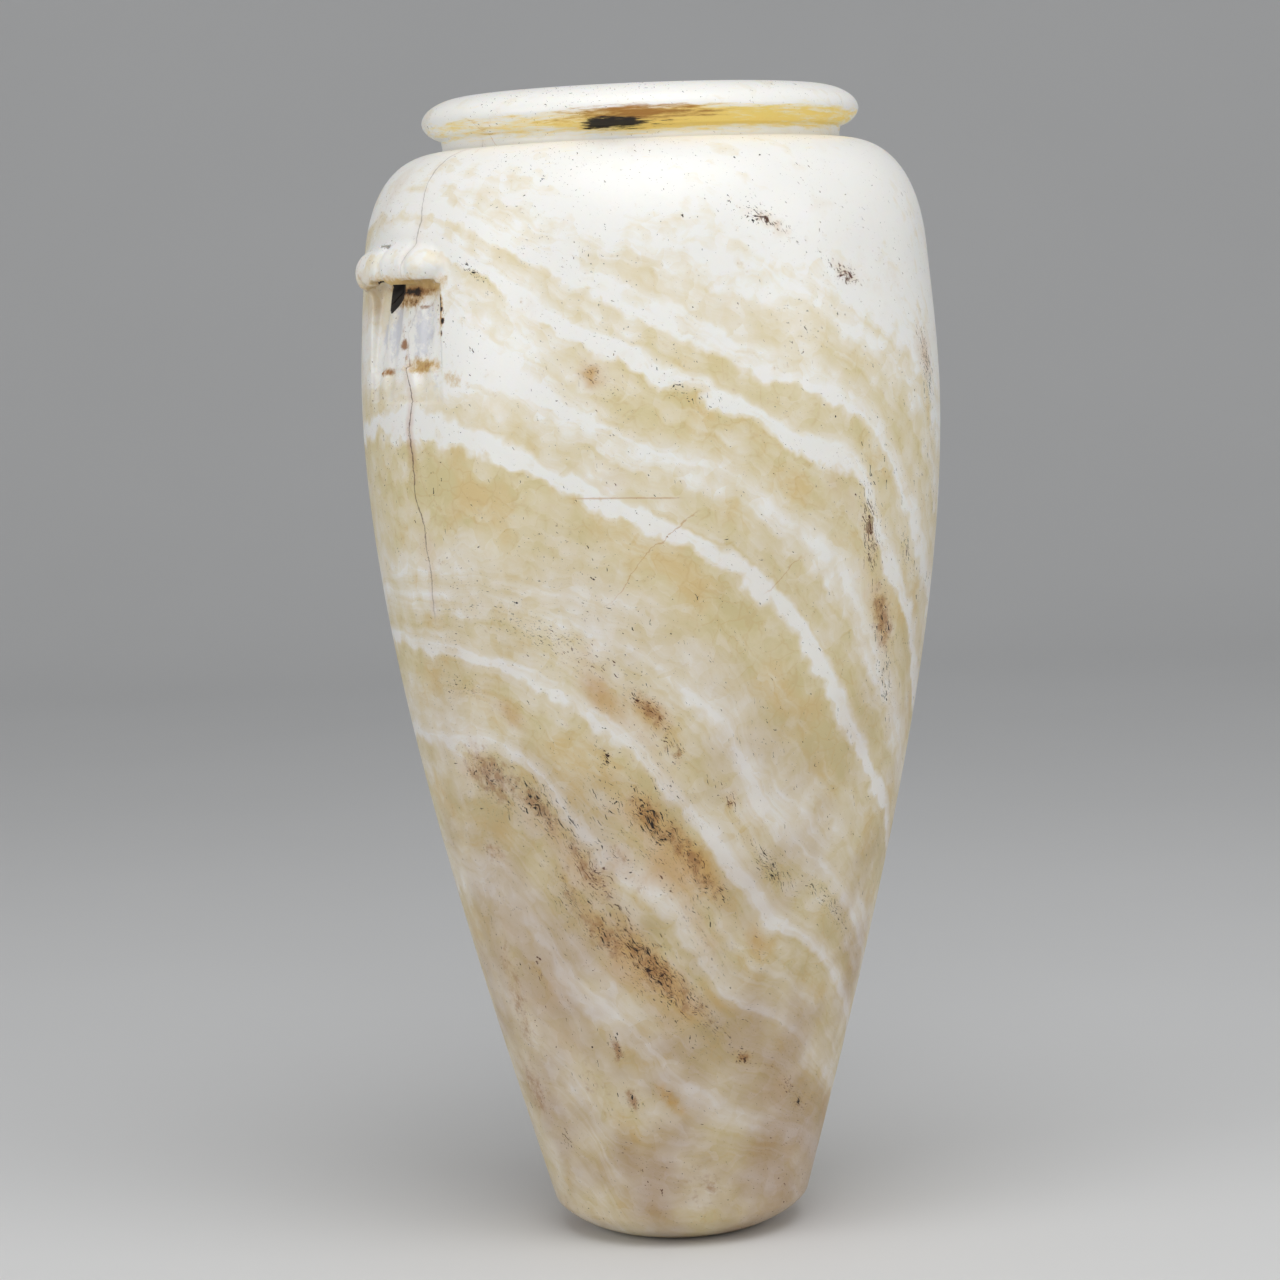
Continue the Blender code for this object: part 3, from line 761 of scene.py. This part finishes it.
def lug_marks():
    """Dirt, painted shade and painted highlights of both lugs. Pocket and slot are painted black
    inside as painted shade.
    """
    along, side = lug_place(SKIN_POINTS)
    drilled = in_pocket(along)
    along = along * 1000
    near = (ARM > LUG_ZONE_ARM) & (HEIGHT > LUG_ZONE_MM[0]) & (HEIGHT < LUG_ZONE_MM[1])
    share = np.where(side < 0, 1.0, FAR_LUG_SHARE) * near
    found = []
    for table in (LUG_DIRT_AND_SHADE_SPOTS, CHANNEL_HIGHLIGHT_SPOTS):
        marks = 0.0
        for middle, height, long, tall, *kinds in table:
            spread = hill(along, middle, long) * hill(HEIGHT, height, tall) * share
            marks = np.maximum(marks, spread[:, None] * kinds)
        found.append(marks)
    marks, painted_highlight = found
    in_slot = (np.abs(ARM - SLOT_ARM) < SLOT_SIZE[0] * 0.55) & (
        np.abs(along) < SLOT_SIZE[1] * 1000 * 0.55) & (
        HEIGHT > SLOT_DARK_MM[0]) & (HEIGHT < SLOT_DARK_MM[1])
    # Painted shade: the pocket and the slot are filled with black.
    marks[:, 2] = np.maximum(marks[:, 2], (drilled | in_slot) * PITCH_BLACK)
    return marks, painted_highlight[:, 0]


lug_dirt_and_shade, lug_highlight = lug_marks()
store(stone.data, "dirt_and_shade", np.maximum(rim_marks(), lug_dirt_and_shade))
store(stone.data, "painted_highlight", lug_highlight)
print("dirt under the rim and in the lugs stored")

# %% [markdown]
# ## Cracks
# A crack is a thin dark line, far thinner than a face. What is stored is how far each
# point lies to the side of the crack, with a sign, because that stays exact between the
# points of the mesh. The material then draws a line of any width where it passes zero.

# %% Crack lines: height to left degrees for upright ones, left to height for level ones
UPRIGHT_CRACK = ((434, 50.5), (424, 52.3), (415, 51.8), (405, 50.2), (396, 51.0),
                 (384, 52.5), (372, 53.6), (362, 55.6), (354, 55.0), (348, 54.1),
                 (337, 52.2), (328, 53.6), (315, 53.3), (303, 53.5), (290, 51.6),
                 (282, 51.6), (273, 51.0), (264, 51.8), (255, 52.4))
LEVEL_CRACKS = (
    ((16, 300.4), (5, 300.0), (-5, 299.2)),
    ((10.0, 259), (8.7, 262.2), (3.5, 276.8), (-6.2, 292.6), (-8.0, 295)),
    ((-21, 262), (-23.0, 264.7), (-27.3, 273.5), (-29.0, 276)),
    ((51, 443), (50.0, 442.6), (46.8, 439.4), (46.2, 433.3), (43.5, 430.1)),
)


CRACK_REACH = 0.03        # farther off than this the stored strength is nothing


def crack_marks(across, strong):
    """The distance across the crack, and how strong it is where it is near."""
    return np.stack([across, strong * (np.abs(across) < CRACK_REACH) * OUTSIDE, across * 0], 1)


def upright_crack():
    """The crack that runs down through the lug."""
    heights, lefts = np.array(sorted(UPRIGHT_CRACK), float).T
    aside = half_turn(LEFT - np.interp(HEIGHT, heights, lefts))
    across = np.radians(aside) * ARM
    strong = smooth_step(HEIGHT, 250.0, 262.0) * (0.55 + 0.45 * hill(HEIGHT, 330, 50, 4))
    strong = strong * (1 - 0.8 * hill(HEIGHT, 371.0, 21.0, 8))
    return crack_marks(across, strong * (1 - smooth_step(HEIGHT, 428.0, 437.0)))


def level_crack(line):
    """A crack that runs across, with its ends fading out."""
    lefts, heights = np.array(sorted(line), float).T
    across = (HEIGHT - np.interp(LEFT, lefts, heights)) / 1000
    strong = smooth_step(LEFT, lefts[0], lefts[0] + 2.0) * (
        1 - smooth_step(LEFT, lefts[-1] - 2.0, lefts[-1]))
    return crack_marks(across, strong)


store(stone.data, "crack", upright_crack())
for number, line in enumerate(LEVEL_CRACKS, 1):
    store(stone.data, f"vein_{number}", level_crack(line))
print("cracks:", 1 + len(LEVEL_CRACKS))

# %% [markdown]
# ## Small tools for materials
# A procedural material is a chain of nodes. These helpers add one node each and join its
# inputs, so that the cells below read like the sums they are.

# %% Node helpers
def add_node(tree, kind, inputs=None, **settings):
    """Adds one node. An input may be a plain value or another node's output."""
    node = tree.nodes.new(kind)
    for name, value in settings.items():
        setattr(node, name, value)
    for name, value in (inputs or {}).items():
        socket = node.inputs[name]
        if isinstance(value, bpy.types.NodeSocket):
            tree.links.new(value, socket)
        else:
            socket.default_value = value
    return node


def sum_of(tree, operation, *values, clamp=False):
    """One step of arithmetic."""
    node = add_node(tree, "ShaderNodeMath", dict(enumerate(values)), operation=operation)
    node.use_clamp = clamp
    return node.outputs[0]


def mixed(tree, share, below, above, blend='MIX'):
    """Colour mix: all of the first colour at 0, all of the second at 1."""
    node = add_node(tree, "ShaderNodeMix", {0: share, 6: below, 7: above},
                    data_type='RGBA', blend_type=blend)
    node.clamp_factor = True
    return node.outputs[2]


def noise(tree, place, scale, detail=3.0, rough=0.5):
    node = add_node(tree, "ShaderNodeTexNoise", {"Vector": place, "Scale": scale,
                                                 "Detail": detail, "Roughness": rough})
    return node.outputs[0]


def soft_range(tree, value, low, high, out_low=0.0, out_high=1.0):
    """Goes softly from one value to another while the input passes from low to high."""
    node = add_node(tree, "ShaderNodeMapRange",
                    {0: value, 1: low, 2: high, 3: out_low, 4: out_high},
                    interpolation_type='SMOOTHSTEP')
    return node.outputs[0]


def stored(tree, name):
    """A number that was stored for each point."""
    return add_node(tree, "ShaderNodeAttribute", attribute_name=name).outputs["Fac"]


def stored_parts(tree, name):
    """The three numbers of a stored vector."""
    vector = add_node(tree, "ShaderNodeAttribute", attribute_name=name).outputs["Vector"]
    return add_node(tree, "ShaderNodeSeparateXYZ", {0: vector}).outputs


def tint(red, green, blue):
    """A colour given as 0 to 255, as a screen shows it, made linear."""
    share = [value / 255 for value in (red, green, blue)]
    return [v / 12.92 if v <= 0.04045 else ((v + 0.055) / 1.055) ** 2.4 for v in share] + [1]


def colour_ramp(tree, value, stops):
    """A ramp with one colour for each (position, colour) stop."""
    ramp = add_node(tree, "ShaderNodeValToRGB", {0: value})
    points = ramp.color_ramp.elements
    points.remove(points[-1])
    for number, (position, colour) in enumerate(stops):
        point = points.new(position) if number else points[0]
        point.position, point.color = position, colour
    return ramp.outputs[0]


def new_group(name, inputs, outputs):
    """A node group with named sockets, each given as (name, kind, first value)."""
    group = bpy.data.node_groups.new(name, 'ShaderNodeTree')
    for socket, kind, value in inputs:
        made = group.interface.new_socket(socket, in_out='INPUT', socket_type=kind)
        if value is not None:
            made.default_value = value
    for socket, kind in outputs:
        group.interface.new_socket(socket, in_out='OUTPUT', socket_type=kind)
    return group, group.nodes.new("NodeGroupInput").outputs, group.nodes.new(
        "NodeGroupOutput").inputs


def use_group(tree, group, inputs):
    """Places a group and gives back its outputs."""
    return add_node(tree, "ShaderNodeGroup", inputs, node_tree=group).outputs


FLOAT, VECTOR = 'NodeSocketFloat', 'NodeSocketVector'
print("node helpers ready")

# %% [markdown]
# ## Speck group
# Black and brown specks come in swarms that follow the layers. They are ragged and tiny,
# so they are the peaks of a fine noise: where more specks are wanted, the cut through the
# noise is made lower. The group is placed at two sizes.

# %% Specks
SPECK_CUT, SPECK_CUT_DROP = 0.695, 0.155   # where no specks are wanted, and for each amount


def speck_group():
    group, given, out = new_group(
        "specks", (("Place", VECTOR, None), ("Scale", FLOAT, 500.0),
                   ("Amount", FLOAT, 0.5)), (("Mask", FLOAT),))
    grain = noise(group, given["Place"], given["Scale"], 3.0, 0.62)
    cut = sum_of(group, 'MULTIPLY_ADD', given["Amount"], -SPECK_CUT_DROP, SPECK_CUT)
    over = sum_of(group, 'SUBTRACT', grain, cut)
    group.links.new(soft_range(group, over, 0.0, 0.02), out["Mask"])
    return group


SPECKS = speck_group()


# %% Crack line
def line_group():
    """A thin line of uneven width where the stored distance passes zero, and its halo."""
    group, given, out = new_group(
        "crack line", (("Across", FLOAT, 1.0), ("Strength", FLOAT, 0.0),
                       ("Waver", FLOAT, 0.0), ("Width", FLOAT, 0.0003),
                       ("Halo", FLOAT, 0.003)),
        (("Line", FLOAT), ("Halo", FLOAT)))
    aside = sum_of(group, 'ABSOLUTE', sum_of(group, 'ADD', given["Across"], given["Waver"]))
    for name, width in (("Line", given["Width"]), ("Halo", given["Halo"])):
        near = sum_of(group, 'SUBTRACT', 1.0, sum_of(group, 'DIVIDE', aside, width),
                      clamp=True)
        group.links.new(sum_of(group, 'MULTIPLY', soft_range(group, near, 0.0, 0.8),
                               given["Strength"]), out[name])
    return group


CRACK_LINE = line_group()
print("groups:", SPECKS.name, "and", CRACK_LINE.name)

# %% [markdown]
# ## Banded calcite: the layer number, roughened
# Real layers aren't ruled lines. Their edges are scalloped, because crystals grew in
# little domes, and the whole sheet waves. Noise at three sizes and Voronoi domes are
# added to the stored layer number before it is looked up.

# %% Start the stone's material
calcite = bpy.data.materials.new("banded calcite")
calcite.use_nodes = True
tree = calcite.node_tree
shader = tree.nodes["Principled BSDF"]
place = add_node(tree, "ShaderNodeTexCoord").outputs["Object"]
spots = add_node(tree, "ShaderNodeSeparateXYZ", {0: place}).outputs


def centred(value, size):
    """A pattern moved to swing round zero, and made as large as the size says."""
    return sum_of(tree, 'MULTIPLY', sum_of(tree, 'SUBTRACT', value, 0.5), size)


def squeezed_space(side, up, height):
    """A space for noise: side and up are how closely it repeats across and upward."""
    return add_node(tree, "ShaderNodeCombineXYZ",
                    {0: sum_of(tree, 'MULTIPLY', spots[0], side),
                     1: sum_of(tree, 'MULTIPLY', spots[1], side),
                     2: sum_of(tree, 'MULTIPLY', height, up)}).outputs[0]


domes = add_node(tree, "ShaderNodeTexVoronoi", {"Vector": place, "Scale": 110.0}
                 ).outputs["Distance"]
ripple = noise(tree, place, 240.0, 3.0, 0.6)
rough_layer = stored(tree, "layer")
for part in (centred(noise(tree, place, 17.0, 2.0), 0.011),
             centred(noise(tree, place, 60.0, 3.0, 0.6), 0.009),
             centred(ripple, 0.0018), centred(domes, -0.0045)):
    rough_layer = sum_of(tree, 'ADD', rough_layer, part)
print("layer number roughened")

# %% [markdown]
# ## White and honey
# Each layer is either white and cloudy, full of tiny gaps, or honey coloured and half
# clear. Two colour ramps hold how white the stone is at each height, because one ramp
# takes only 32 stops. The heights are those of the bands in the photo, in millimetres.

# %% How white each layer is
WHITENESS_LOW = (
    (0, 0.45), (24, 0.45), (40, 0.50), (55, 0.30), (62, 0.40), (66, 0.68), (72, 0.66),
    (80, 0.46), (92, 0.30), (106, 0.22), (118, 0.40), (127, 0.30), (134, 0.45),
    (137, 0.84), (142, 0.80), (147, 0.55), (157, 0.45), (167, 0.26), (175, 0.18),
    (184, 0.30), (187.5, 0.86), (192.5, 0.82), (198, 0.45), (207, 0.20), (214, 0.32),
    (222, 0.52), (229, 0.44))
WHITENESS_HIGH = (
    (229, 0.50), (236, 0.85), (241, 0.58), (252, 0.66), (260, 0.36), (268, 0.22),
    (276, 0.10), (284, 0.16), (287, 1.0), (291, 0.98), (294, 0.22), (302, 0.30),
    (309, 0.58), (318, 0.78), (324, 0.42), (332, 0.22), (342, 0.12), (345.5, 1.0),
    (349.5, 0.98), (353, 0.42), (362, 0.26), (366, 0.90), (371, 0.85), (376, 0.50),
    (387, 0.45), (395, 0.72), (402, 0.55), (410, 0.85), (424, 0.80))
RAMP_TOP_MM = 440.0


ramp_share = sum_of(tree, 'DIVIDE', rough_layer, RAMP_TOP_MM / 1000)
low_white, high_white = (
    colour_ramp(tree, ramp_share, [(height / RAMP_TOP_MM, (white, white, white, 1.0))
                                   for height, white in stops])
    for stops in (WHITENESS_LOW, WHITENESS_HIGH))
above = sum_of(tree, 'GREATER_THAN', rough_layer, WHITENESS_HIGH[0][0] / 1000)
band_white = mixed(tree, above, low_white, high_white)
print("layers in the ramps:", len(WHITENESS_LOW) + len(WHITENESS_HIGH))

# %% [markdown]
# ## Fine laminae, clouds and crystals
# Between the main bands lie hundreds of thin laminae, white wisps drift across them, and
# the clear bands show the grains they are made of. Laminae are noise in a space that is
# squeezed along the layer number; grains are Voronoi cells in a bent space, each with its
# own shade.

# %% Laminae, wisps and grains
laminae = noise(tree, squeezed_space(24.0, 300.0, rough_layer), 1.0, 4.0, 0.65)
streamers = noise(tree, squeezed_space(15.0, 95.0, rough_layer), 1.0, 3.0, 0.6)
haze = noise(tree, place, 24.0, 6.0, 0.62)
bend = add_node(tree, "ShaderNodeTexNoise", {"Vector": place, "Scale": 75.0, "Detail": 2.0}
                ).outputs["Color"]
bend = add_node(tree, "ShaderNodeVectorMath", {0: bend, "Scale": 0.016},
                operation='SCALE').outputs[0]
bent = add_node(tree, "ShaderNodeVectorMath", {0: place, 1: bend}, operation='ADD').outputs[0]
grains = add_node(tree, "ShaderNodeTexVoronoi", {"Vector": bent, "Scale": 150.0})
grain_lot = add_node(tree, "ShaderNodeSeparateColor", {0: grains.outputs["Color"]}).outputs[0]
white = band_white
for part, size in ((laminae, 0.70), (streamers, 1.0), (haze, 1.45), (grain_lot, 0.22),
                   (domes, -0.40), (ripple, 0.20)):
    white = sum_of(tree, 'ADD', white, centred(part, size))
white = sum_of(tree, 'ADD', white, stored(tree, "pale"))
# Painted light: the stone is made whiter towards the top, where the light from above falls
# strongest.
painted_top_light = soft_range(tree, spots[2], 0.340, 0.435, 0.07, 0.40)
white = sum_of(tree, 'ADD', white, painted_top_light, clamp=True)
print("whiteness built")

# %% Body colours, from clear honey to cloudy white
STONE_TINTS = ((0.0, (221, 207, 158)), (0.22, (228, 215, 174)), (0.45, (234, 223, 194)),
               (0.72, (241, 234, 217)), (1.0, (249, 248, 243)))
# The warm grey is partly the stone's own tint low down and partly painted shade.
WARM_GREY_AND_SHADE = tint(198, 177, 162)
body = colour_ramp(tree, white, [(share, tint(*shade)) for share, shade in STONE_TINTS])
warmer = sum_of(tree, 'MULTIPLY', soft_range(tree, white, 0.6, 0.0),
                soft_range(tree, noise(tree, place, 38.0, 4.0), 0.50, 0.68, 0.0, 0.55))
stone_tint = mixed(tree, warmer, body, tint(228, 196, 136))
patches = noise(tree, place, 21.0, 3.0, 0.55)
# Darker and greyer towards the bottom, in patches: partly the stone's own tint, partly painted
# shade where less light falls.
low_shade_and_grey = sum_of(tree, 'MULTIPLY', soft_range(tree, spots[2], 0.36, 0.02, 0.0, 0.90),
                  soft_range(tree, patches, 0.34, 0.64, 0.35, 1.0))
stone_tint = mixed(tree, low_shade_and_grey, stone_tint, WARM_GREY_AND_SHADE, 'MULTIPLY')
edges = add_node(tree, "ShaderNodeTexVoronoi", {"Vector": bent, "Scale": 120.0},
                 feature='DISTANCE_TO_EDGE').outputs["Distance"]
seams = sum_of(tree, 'MULTIPLY', soft_range(tree, edges, 0.07, 0.0, 0.0, 0.26),
               soft_range(tree, white, 0.42, 0.10))
stone_tint = mixed(tree, seams, stone_tint, tint(206, 172, 112))
print("body colours mixed")

# %% [markdown]
# ## Stains on top
# The stored clouds, dirt and cracks are laid over the stone, and in the lugs painted shade
# and painted highlights too. Each soft hill is compared with noise, so that its rim breaks
# up into wisps along the layers.

# %% Stains and specks
OCHRE, BROWN, RUST = tint(202, 156, 80), tint(152, 98, 46), tint(176, 100, 48)
# The near-black is that of specks and dirt, and also the painted shade inside the pocket and the
# slot. The olive is the lug's dirt mixed with painted shade.
GOLD, OLIVE_DIRT_AND_SHADE, SOOT_AND_SHADE = tint(252, 219, 104), tint(206, 170, 96), tint(26, 17, 11)
# The blue-white is a painted highlight on the channels of the lug's recess.
HIGHLIGHT_BLUE, RIM_BROWN = tint(212, 214, 222), tint(164, 104, 30)
clouds = stored_parts(tree, "clouds")
blots = noise(tree, place, 230.0, 5.0, 0.72)


def broken(amount, pattern, low, high, strength):
    """A stored hill, broken up by a pattern."""
    over = sum_of(tree, 'MULTIPLY_ADD', amount, 0.55, pattern)
    return sum_of(tree, 'MULTIPLY', soft_range(tree, over, low, high), strength)


stone_tint = mixed(tree, broken(clouds[0], haze, 0.56, 0.98, 0.75), stone_tint, OCHRE)
stone_tint = mixed(tree, broken(clouds[1], blots, 0.68, 0.98, 0.64), stone_tint, BROWN)
along_layer = squeezed_space(1.0, 2.0, rough_layer)
swarm = soft_range(tree, patches, 0.48, 0.66)
few = sum_of(tree, 'MULTIPLY_ADD', swarm, 0.20, clouds[2])
small = use_group(tree, SPECKS, {"Place": along_layer, "Scale": 820.0, "Amount": few})
big = use_group(tree, SPECKS, {"Place": along_layer, "Scale": 330.0,
                               "Amount": sum_of(tree, 'SUBTRACT', few, 0.12)})
specks = sum_of(tree, 'MAXIMUM', small["Mask"], big["Mask"])
stone_tint = mixed(tree, sum_of(tree, 'MULTIPLY', specks, 0.99), stone_tint,
                   mixed(tree, soft_range(tree, haze, 0.46, 0.62), SOOT_AND_SHADE, tint(96, 50, 22)))
print("stains laid over")

# %% Dirt under the rim; dirt, painted shade and painted highlights in the lug
dirt_and_shade = stored_parts(tree, "dirt_and_shade")
streaks = noise(tree, squeezed_space(80.0, 800.0, spots[2]), 1.0, 5.0, 0.68)
on_rim = soft_range(tree, spots[2], 0.40, 0.43)
smear = sum_of(tree, 'MULTIPLY_ADD', sum_of(tree, 'SUBTRACT', streaks, blots), on_rim, blots)
# Painted highlight: blue-white on the lug's channels and apron.
stone_tint = mixed(tree, broken(stored(tree, "painted_highlight"), blots, 0.62, 0.92, 0.8), stone_tint, HIGHLIGHT_BLUE)
# In the lug the ochre and brown are partly dirt and partly painted shade under the bar and on the
# ledge; under the rim they are dirt.
ochre_dirt_and_shade = broken(dirt_and_shade[0], smear, 0.58, 0.98, 0.9)
stone_tint = mixed(tree, ochre_dirt_and_shade, stone_tint, mixed(tree, on_rim, OLIVE_DIRT_AND_SHADE, GOLD))
stone_tint = mixed(tree, broken(dirt_and_shade[1], smear, 0.68, 1.02, 0.88), stone_tint,
                   mixed(tree, on_rim, BROWN, RIM_BROWN))
# The black is dirt under the rim and in the lug, and painted shade inside the pocket and the
# slot.
black_dirt_and_shade = broken(dirt_and_shade[2], smear, 0.80, 0.98, 0.995)
stone_tint = mixed(tree, black_dirt_and_shade, stone_tint, SOOT_AND_SHADE)
print("dirt laid over")

# %% Cracks and veins
waver = centred(noise(tree, place, 130.0, 4.0, 0.65), 0.0045)
uneven = sum_of(tree, 'MULTIPLY_ADD', blots, 1.6, 0.1)
crack = stored_parts(tree, "crack")
split = use_group(tree, CRACK_LINE, {
    "Across": crack[0], "Strength": crack[1], "Waver": waver, "Halo": 0.0040,
    "Width": sum_of(tree, 'MULTIPLY', uneven, 0.00058)})
halo = sum_of(tree, 'MULTIPLY', split["Halo"], soft_range(tree, patches, 0.42, 0.62))
stone_tint = mixed(tree, sum_of(tree, 'MULTIPLY', halo, 0.28), stone_tint, RUST)
stone_tint = mixed(tree, sum_of(tree, 'MULTIPLY', split["Line"], 0.8), stone_tint,
                   tint(98, 66, 52))
for number in range(1, len(LEVEL_CRACKS) + 1):
    vein = stored_parts(tree, f"vein_{number}")
    thread = use_group(tree, CRACK_LINE, {
        "Across": vein[0], "Strength": vein[1],
        "Waver": sum_of(tree, 'MULTIPLY', waver, 0.1 if number == 1 else 1.7),
        "Width": sum_of(tree, 'MULTIPLY', uneven, 0.0005), "Halo": 0.0020})
    stone_tint = mixed(tree, sum_of(tree, 'MULTIPLY', thread["Line"], 0.5), stone_tint,
                       tint(190, 140, 80))
print("cracks drawn")

# %% [markdown]
# ## Gloss, depth and touch
# Calcite lets light in, so the shader scatters a share of it under the surface. Hand
# grinding left a waxy gloss that breaks up where the stone is stained. The faint
# unevenness of the grinding is a bump, because it is finer than the mesh.

# %% Shader of the stone
gloss = sum_of(tree, 'MULTIPLY_ADD', blots, 0.26, 0.22)
dull = sum_of(tree, 'MAXIMUM', sum_of(tree, 'MAXIMUM', specks, ochre_dirt_and_shade), black_dirt_and_shade)
gloss = sum_of(tree, 'MULTIPLY_ADD', dull, 0.35, gloss)
tree.links.new(stone_tint, shader.inputs["Base Color"])
tree.links.new(gloss, shader.inputs["Roughness"])
shader.inputs["IOR"].default_value = 1.52
shader.inputs["Subsurface Weight"].default_value = 0.30
shader.inputs["Subsurface Radius"].default_value = (1.0, 0.78, 0.50)
shader.inputs["Subsurface Scale"].default_value = 0.005
ground = sum_of(tree, 'MULTIPLY_ADD', noise(tree, place, 42.0, 2.0), 0.9,
                sum_of(tree, 'MULTIPLY', noise(tree, place, 420.0, 2.0), 0.08))
bump = add_node(tree, "ShaderNodeBump", {"Height": ground, "Strength": 0.6,
                                         "Distance": 0.0012})
tree.links.new(bump.outputs[0], shader.inputs["Normal"])
stone.data.materials.clear()
stone.data.materials.append(calcite)
print("material:", calcite.name, "with", len(tree.nodes), "nodes")

# %% [markdown]
# ## Floor and light
# The stone is pale and full of soft colour, so the studio is plain: a light grey floor
# that curves up behind, one wide light from above and in front, a weaker one on each side,
# and an even sky. Wide lights give the broad, soft gloss of the photo.

# %% Floor
FLOOR_TINTS = tint(224, 225, 226), tint(229, 230, 231)
FLOOR_WIDTH, FLOOR_BEND = 7.0, 1.2
FLOOR_LINE = ((-2.4, 0.0), (2.0, 0.0), (3.2, 3.7))   # front edge, start of the bend, top


def studio_floor():
    """A sheet that lies flat under the jar and curves up far behind it."""
    bm = bmesh.new()
    front, bend, top = (bm.verts.new((-FLOOR_WIDTH / 2, y, z)) for y, z in FLOOR_LINE)
    bm.edges.new((front, bend))
    curve = bmesh.ops.spin(bm, geom=[bend], axis=(1, 0, 0), angle=math.pi / 2, steps=20,
                           cent=bend.co + Vector((0, 0, FLOOR_BEND)))["geom_last"]
    bm.edges.new((curve[0], top))
    sheet = bmesh.ops.extrude_edge_only(bm, edges=bm.edges[:])["geom"]
    bmesh.ops.translate(bm, vec=(FLOOR_WIDTH, 0, 0),
                        verts=[g for g in sheet if isinstance(g, bmesh.types.BMVert)])
    turn = Matrix.Rotation(math.radians(VIEW_TURN_DEG), 4, 'Z')
    bmesh.ops.transform(bm, matrix=turn, verts=bm.verts)
    obj = as_object("studio_floor", bm)
    obj.data.shade_smooth()
    material = bpy.data.materials.new("pale floor")
    material.use_nodes = True
    paper = material.node_tree
    grain = noise(paper, add_node(paper, "ShaderNodeTexCoord").outputs["Object"], 3.0)
    paper.links.new(mixed(paper, grain, *FLOOR_TINTS),
                    paper.nodes["Principled BSDF"].inputs["Base Color"])
    paper.nodes["Principled BSDF"].inputs["Roughness"].default_value = 0.9
    obj.data.materials.append(material)
    return obj


studio_floor()
print("floor made")


# %% Lights
LIGHT_AIM = Vector((0, 0, 0.26))


def wide_light(name, aside, towards, height, size, watts):
    """An area light, placed as the camera sees it: aside to the right, towards it, up."""
    data = bpy.data.lights.new(name, 'AREA')
    data.shape = 'DISK'
    data.size = size
    data.energy = watts
    light = bpy.data.objects.new(name, data)
    spot = Matrix.Rotation(math.radians(VIEW_TURN_DEG), 3, 'Z') @ Vector(
        (aside, -towards, height))
    aim = (LIGHT_AIM - spot).to_track_quat('-Z', 'Y')
    light.matrix_world = Matrix.Translation(spot) @ aim.to_matrix().to_4x4()
    bpy.context.scene.collection.objects.link(light)


wide_light("above", 0.10, 0.70, 1.40, 1.2, 9.0)
wide_light("left", -1.4, 0.8, 0.7, 1.0, 6.5)
wide_light("right", 1.3, 0.8, 0.8, 1.0, 4.8)
world = bpy.data.worlds.new("even sky")
world.use_nodes = True
sky = world.node_tree.nodes["Background"]
sky.inputs["Color"].default_value = (1.0, 1.0, 1.0, 1.0)
sky.inputs["Strength"].default_value = 0.32
bpy.context.scene.world = world
bpy.context.scene.view_settings.view_transform = 'Standard'
print("lights placed")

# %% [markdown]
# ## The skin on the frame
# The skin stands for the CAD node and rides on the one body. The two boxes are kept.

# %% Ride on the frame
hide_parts("jar")
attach(stone, "root")
